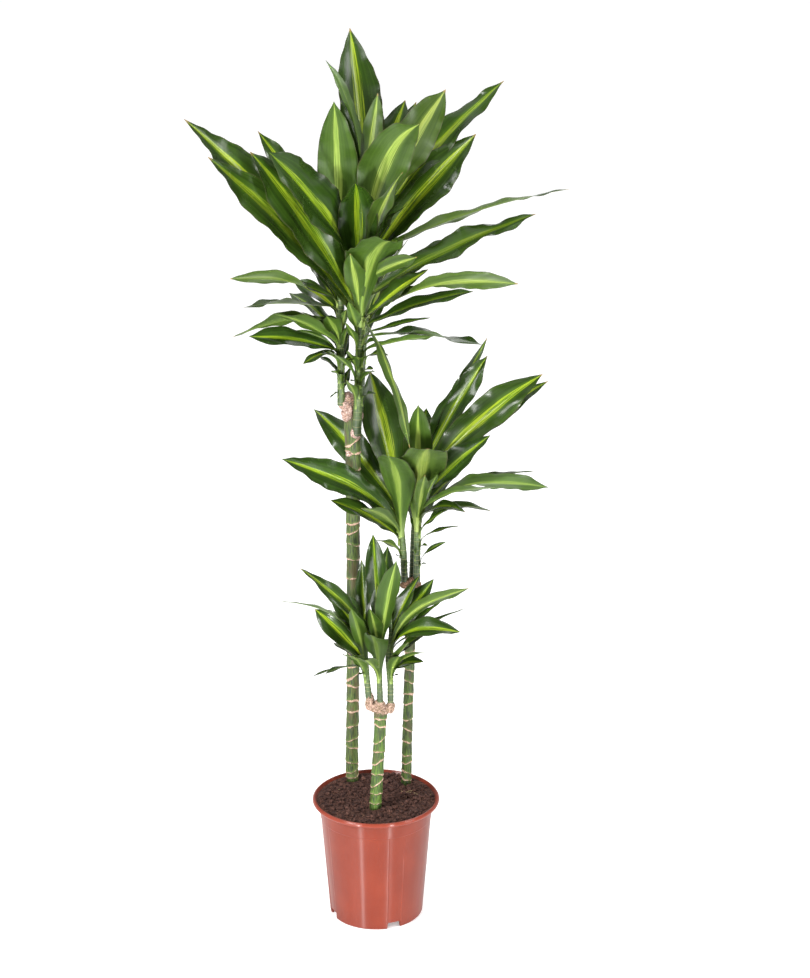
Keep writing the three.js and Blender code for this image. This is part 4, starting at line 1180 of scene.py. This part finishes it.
def stem(name, lowest_leaf):
    """A ringed stem that ends in a pointed spear."""
    line, radii = STEMS[name]
    line = np.array(line, float)
    foot, top, spear = line[0][2], line[-1][2], SHORT_SPEARS.get(name, SPEAR)
    z = np.arange(foot, top + spear, STEM_STEP)
    x, y = (np.interp(z, line[:, 2], line[:, c]) for c in (0, 1))
    pitch = RING_PITCH + RING_SPREAD * draw(top)
    step = np.mod(z + 1.5 * np.sin(z / 17), pitch)
    radius = np.interp(z, line[:, 2], radii) * np.sqrt(np.clip((top + spear - z) / spear, 0.004, 1))
    ringed = np.where(z < top, RING_RISE * (1 - step / pitch), 0)
    points = []
    for i, zi in enumerate(z):
        for a in round_angles(STEM_SIDES):
            c, s = math.cos(a), math.sin(a)
            r = radius[i] + ringed[i] + 0.25 * rough(5 * c, 5 * s, zi / 4, 3)
            points.append([x[i] + r * c, y[i] + r * s, zi])
    place = np.stack([np.tile(np.arange(STEM_SIDES) / STEM_SIDES, len(z)),
                      np.repeat((z - foot) / (z[-1] - foot), STEM_SIDES)], 1)
    # the numbers that only leaves need are filled in, as the joined piece has them at every point
    facts = {
        "underside": np.ones(len(points)),
        "sheath": np.repeat(1 - smooth(z, lowest_leaf - 60, lowest_leaf + 10), STEM_SIDES),
        "leaf_draw": np.full(len(points), 0.5), "leaf_width": np.full(len(points), 20.0),
        "leaf_length": np.full(len(points), 200.0), "band_left": np.ones(len(points)),
        "ring_mm": np.repeat(np.minimum(step, pitch - step), STEM_SIDES),
    }
    return np.array(points), tube_faces(len(z), STEM_SIDES), place, facts


for name in ("shoot_tall_front", "shoot_short_left"):
    print(name, "stem:", len(stem(name, 1000)[0]), "points")

# %% [markdown]
# ## The striped leaf
# The upper face is dark, waxy green with a bright yellow-green band down the middle. The band is not
# painted with a clean edge: it is made of many parallel veins, some green and some yellow, which
# thin out towards its sides. So the finish takes its place across and along the leaf, stretches
# noise into long threads, and lets the threads shift the edge of the band. The underside is the same
# leaf seen from below: paler, matt, with a soft band. One finish serves both, and each point of the
# mesh says which side it lies on.

# %% Finish of the leaves
def striped_leaf():
    r = Recipe("striped leaf")
    u, v, _ = r.node("SeparateXYZ", {0: r.node("UVMap", uv_map="leaf").outputs[0]}).outputs
    under, chance, width = r.fact("underside"), r.fact("leaf_draw"), r.fact("leaf_width")
    from_rib = r.times(r.compute("ABSOLUTE", r.less(u, 0.5)), 2.0)
    # a place on the leaf in which one unit across is a millimetre, and the threads run along it
    across = r.times(u, width)
    lengthwise = r.times(v, r.times(r.fact("leaf_length"), 0.02))
    threads_at = r.node("CombineXYZ", {0: across, 1: lengthwise, 2: r.times(chance, 90)}).outputs[0]
    threads = r.grain(threads_at, 1.7, 3, 0.6)
    broad = r.grain(threads_at, 6.0, 2)
    # the band: narrower towards the point, its edge moved by the threads
    half_band = r.times(r.ramp(v, 0.3, 1.0, 0.23, 0.16), r.ramp(chance, 0, 1, 0.8, 1.12))
    moved = r.plus(from_rib, r.times(r.less(threads, 0.5), 0.34))
    inside = r.less(half_band, moved)
    # small old leaves have lost most of their band
    young = r.times(r.ramp(width, 18, 48, 0.45, 1), r.fact("band_left"))
    band = r.times(r.ramp(inside, -0.05, 0.05), young)
    halo = r.ramp(inside, -0.28, -0.02, 0, 0.3)
    lines = r.times(r.ramp(threads, 0.51, 0.6), r.ramp(from_rib, 0.26, 0.12))

    dark = r.mix(r.ramp(broad, 0.35, 0.7), (29, 47, 13), (43, 65, 19))
    dark = r.mix(r.ramp(threads, 0.35, 0.75, 0, 0.35), dark, (56, 82, 26))
    bright = r.mix(r.ramp(threads, 0.3, 0.6), (152, 168, 44), (108, 134, 28))
    upper = r.mix(halo, dark, (70, 104, 26))
    upper = r.mix(band, upper, r.mix(r.times(lines, 0.85), bright, (50, 82, 16)))

    soft = r.mix(r.ramp(broad, 0.35, 0.7), (47, 68, 19), (60, 82, 26))
    pale = r.mix(r.ramp(threads, 0.3, 0.65), (152, 166, 84), (114, 134, 56))
    lower = r.mix(halo, soft, (84, 108, 44))
    lower = r.mix(r.times(band, 0.9), lower, r.mix(r.times(lines, 0.5), pale, (92, 120, 48)))

    colour = r.mix(under, upper, lower)
    # the sheath is pale; the thin edge is dull; some points have dried
    colour = r.mix(r.ramp(v, 0.13, 0.0, 0, 0.55), colour, (152, 170, 100))
    colour = r.mix(r.ramp(from_rib, 0.93, 0.985, 0, 0.65), colour, (60, 58, 38))
    dried = r.times(r.ramp(v, 0.972, 0.992), r.ramp(chance, 0.35, 0.6))
    colour = r.mix(dried, colour, (126, 106, 66))
    # no two leaves are quite the same green
    tint = r.mix(chance, (236, 246, 222), (255, 252, 240))
    colour = r.mix(1.0, colour, tint, "MULTIPLY")

    gloss = r.ramp(r.grain(r.place(), 26, 3), 0.3, 0.7, 0.17, 0.28)
    gloss = r.plus(gloss, r.times(under, 0.2))
    veins = r.plus(threads, r.times(r.ramp(from_rib, 0.1, 0.0), 0.8))
    r.bump(veins, 0.35, 0.5)
    return r.finish(colour, gloss, Specular_IOR_Level=0.3)


leaf_finish = striped_leaf()
print("finish:", leaf_finish.name)

# %% Finish of the stems
def green_stem():
    r = Recipe("green stem")
    streaks = r.grain(r.place((1, 1, 0.08)), 1.3, 3)
    colour = r.mix(r.ramp(streaks, 0.35, 0.7), (46, 66, 28), (80, 102, 46))
    old = r.fact("sheath")
    colour = r.mix(r.times(old, 0.75), colour, (36, 50, 27))
    ring = r.ramp(r.fact("ring_mm"), 0.9, 0.2)
    colour = r.mix(r.times(ring, 0.55), colour, (158, 152, 104))
    under_ring = r.times(r.ramp(r.fact("ring_mm"), 0.8, 1.3), r.ramp(r.fact("ring_mm"), 2.6, 1.4))
    colour = r.mix(r.times(under_ring, 0.3), colour, (44, 60, 28))
    r.bump(streaks, 0.35, 0.6)
    return r.finish(colour, r.ramp(streaks, 0.3, 0.7, 0.42, 0.58))


stem_finish = green_stem()
print("finish:", stem_finish.name)

# %% Scraps, dull bands and calm leaves
# small dried bracts and curled scraps below the crowns, in the same form as the leaves
SCRAPS = {
    "shoot_tall_left": [(1012, -80, 52, 1004, 12, 15, 10, 0, 40), (1020, -45, 40, 1032, 9, 60, 60, 0, 0),
                        (1088, -84, 30, 1094, 12, 30, 40, 20, 0), (1060, -38, 40, 1066, 9, 20, 40, -20, 0),
                        (1085, -138, 60, 1128, 10, 30, 40, 40, 90), (1040, -78, 40, 1058, 14, 30, 30, 20, 0),
                        (1030, -60, 40, 1052, 14, 40, 30, 0, 0), (1065, -72, 38, 1086, 16, 30, 30, 0, 0)],
    "shoot_tall_front": [(1050, -2, 25, 1066, 14, 30, 30, 0, 30), (1072, -52, 20, 1084, 12, 30, 40, 0, -30),
                         (1030, -42, 22, 1044, 10, 40, 50, 10, 0), (1000, 2, 40, 1016, 14, 40, 40, 0, 20),
                         (1098, 6, 30, 1118, 16, 30, 30, 20, 0), (1015, -22, 20, 1036, 16, 40, 40, 0, 0),
                         (1066, -30, 14, 1092, 18, 30, 30, 0, 0)],
    "shoot_tall_back": [(1065, 18, 80, 1074, 12, 20, 40, 0, 30), (1100, -40, 85, 1106, 9, 30, 30, 0, 0)],
    "shoot_middle_left": [(690, 37, 48, 703, 8, 30, 20, 0, 0), (676, 62, 40, 690, 8, 30, 30, 0, 0)],
    "shoot_middle_right": [(690, 130, 38, 732, 9, 10, 30, 20, 60), (676, 94, 45, 686, 9, 20, 40, 0, 0),
                           (700, 64, 42, 716, 9, 30, 20, 0, 0), (712, 96, 40, 724, 10, 30, 40, 0, 20)],
    "shoot_short_left": [(505, -30, -62, 512, 8, 30, 30, 0, 0)],
    "shoot_short_right": [(500, 44, -58, 508, 8, 30, 30, 0, 0)],
}
# leaves whose band the photograph shows dull: their place in the list, and how much of it is left
DULL_BANDS = {
    "shoot_tall_left": {2: 0.25, 4: 0.5, 5: 0.15, 7: 0.5},
    "shoot_tall_front": {1: 0.75, 4: 0.55, 5: 0.85, 7: 0.35, 8: 0.6, 9: 0.7, 12: 0.2, 13: 0.5},
    "shoot_tall_back": {1: 0.3, 4: 0.7, 6: 0.2},
    "shoot_middle_left": {2: 0.7, 3: 0.5, 6: 0.6},
    "shoot_middle_right": {1: 0.6, 4: 0.45, 5: 0.4, 6: 0.5, 7: 0.4, 8: 0.5},
    "shoot_short_left": {2: 0.6, 7: 0.5, 8: 0.5},
    "shoot_short_centre": {3: 0.5},
}
# a leaf that stands against one of the next shoot and waves less: its place in the list, and how much
CALM_LEAVES = {"shoot_middle_left": {6: 0.4}}
print(sum(map(len, SCRAPS.values())), "scraps,", sum(map(len, DULL_BANDS.values())), "dull bands")

# %% Join each stem and its leaves
def grow(name):
    """One shoot: the stem first, then every leaf, then the scraps."""
    rows, dull, calm = leaf_rows[name], DULL_BANDS.get(name, {}), CALM_LEAVES.get(name, {})
    parts = [stem(name, min(row[0] for row in rows))]
    for i, row in enumerate(rows):
        parts.append(blade(name, row, row[0] + 13 * i, calm.get(i, 1)))
        parts[-1][3]["band_left"] *= dull.get(i, 1)
    parts += [blade(name, row, 500 + 17 * i) for i, row in enumerate(SCRAPS.get(name, []))]
    all_points, all_faces, all_places, all_facts = zip(*parts)
    faces, of_face, start = [], [], 0
    for i, part_faces in enumerate(all_faces):
        faces += [tuple(v + start for v in face) for face in part_faces]
        of_face += [1 if i == 0 else 0] * len(part_faces)
        start += len(all_points[i])
    facts = {key: np.concatenate([part[key] for part in all_facts]) for key in all_facts[0]}
    return make_piece(name.replace("shoot", "leaves"), np.concatenate(all_points), faces, "leaf",
                      finish=[leaf_finish, stem_finish], of_face=of_face, replaces=[name], facts=facts,
                      leaf_map=np.concatenate(all_places), sharp=55)


for name in STEMS:
    piece = grow(name)
    print(piece.name, len(leaf_rows[name]), "leaves,", len(piece.data.polygons), "faces")
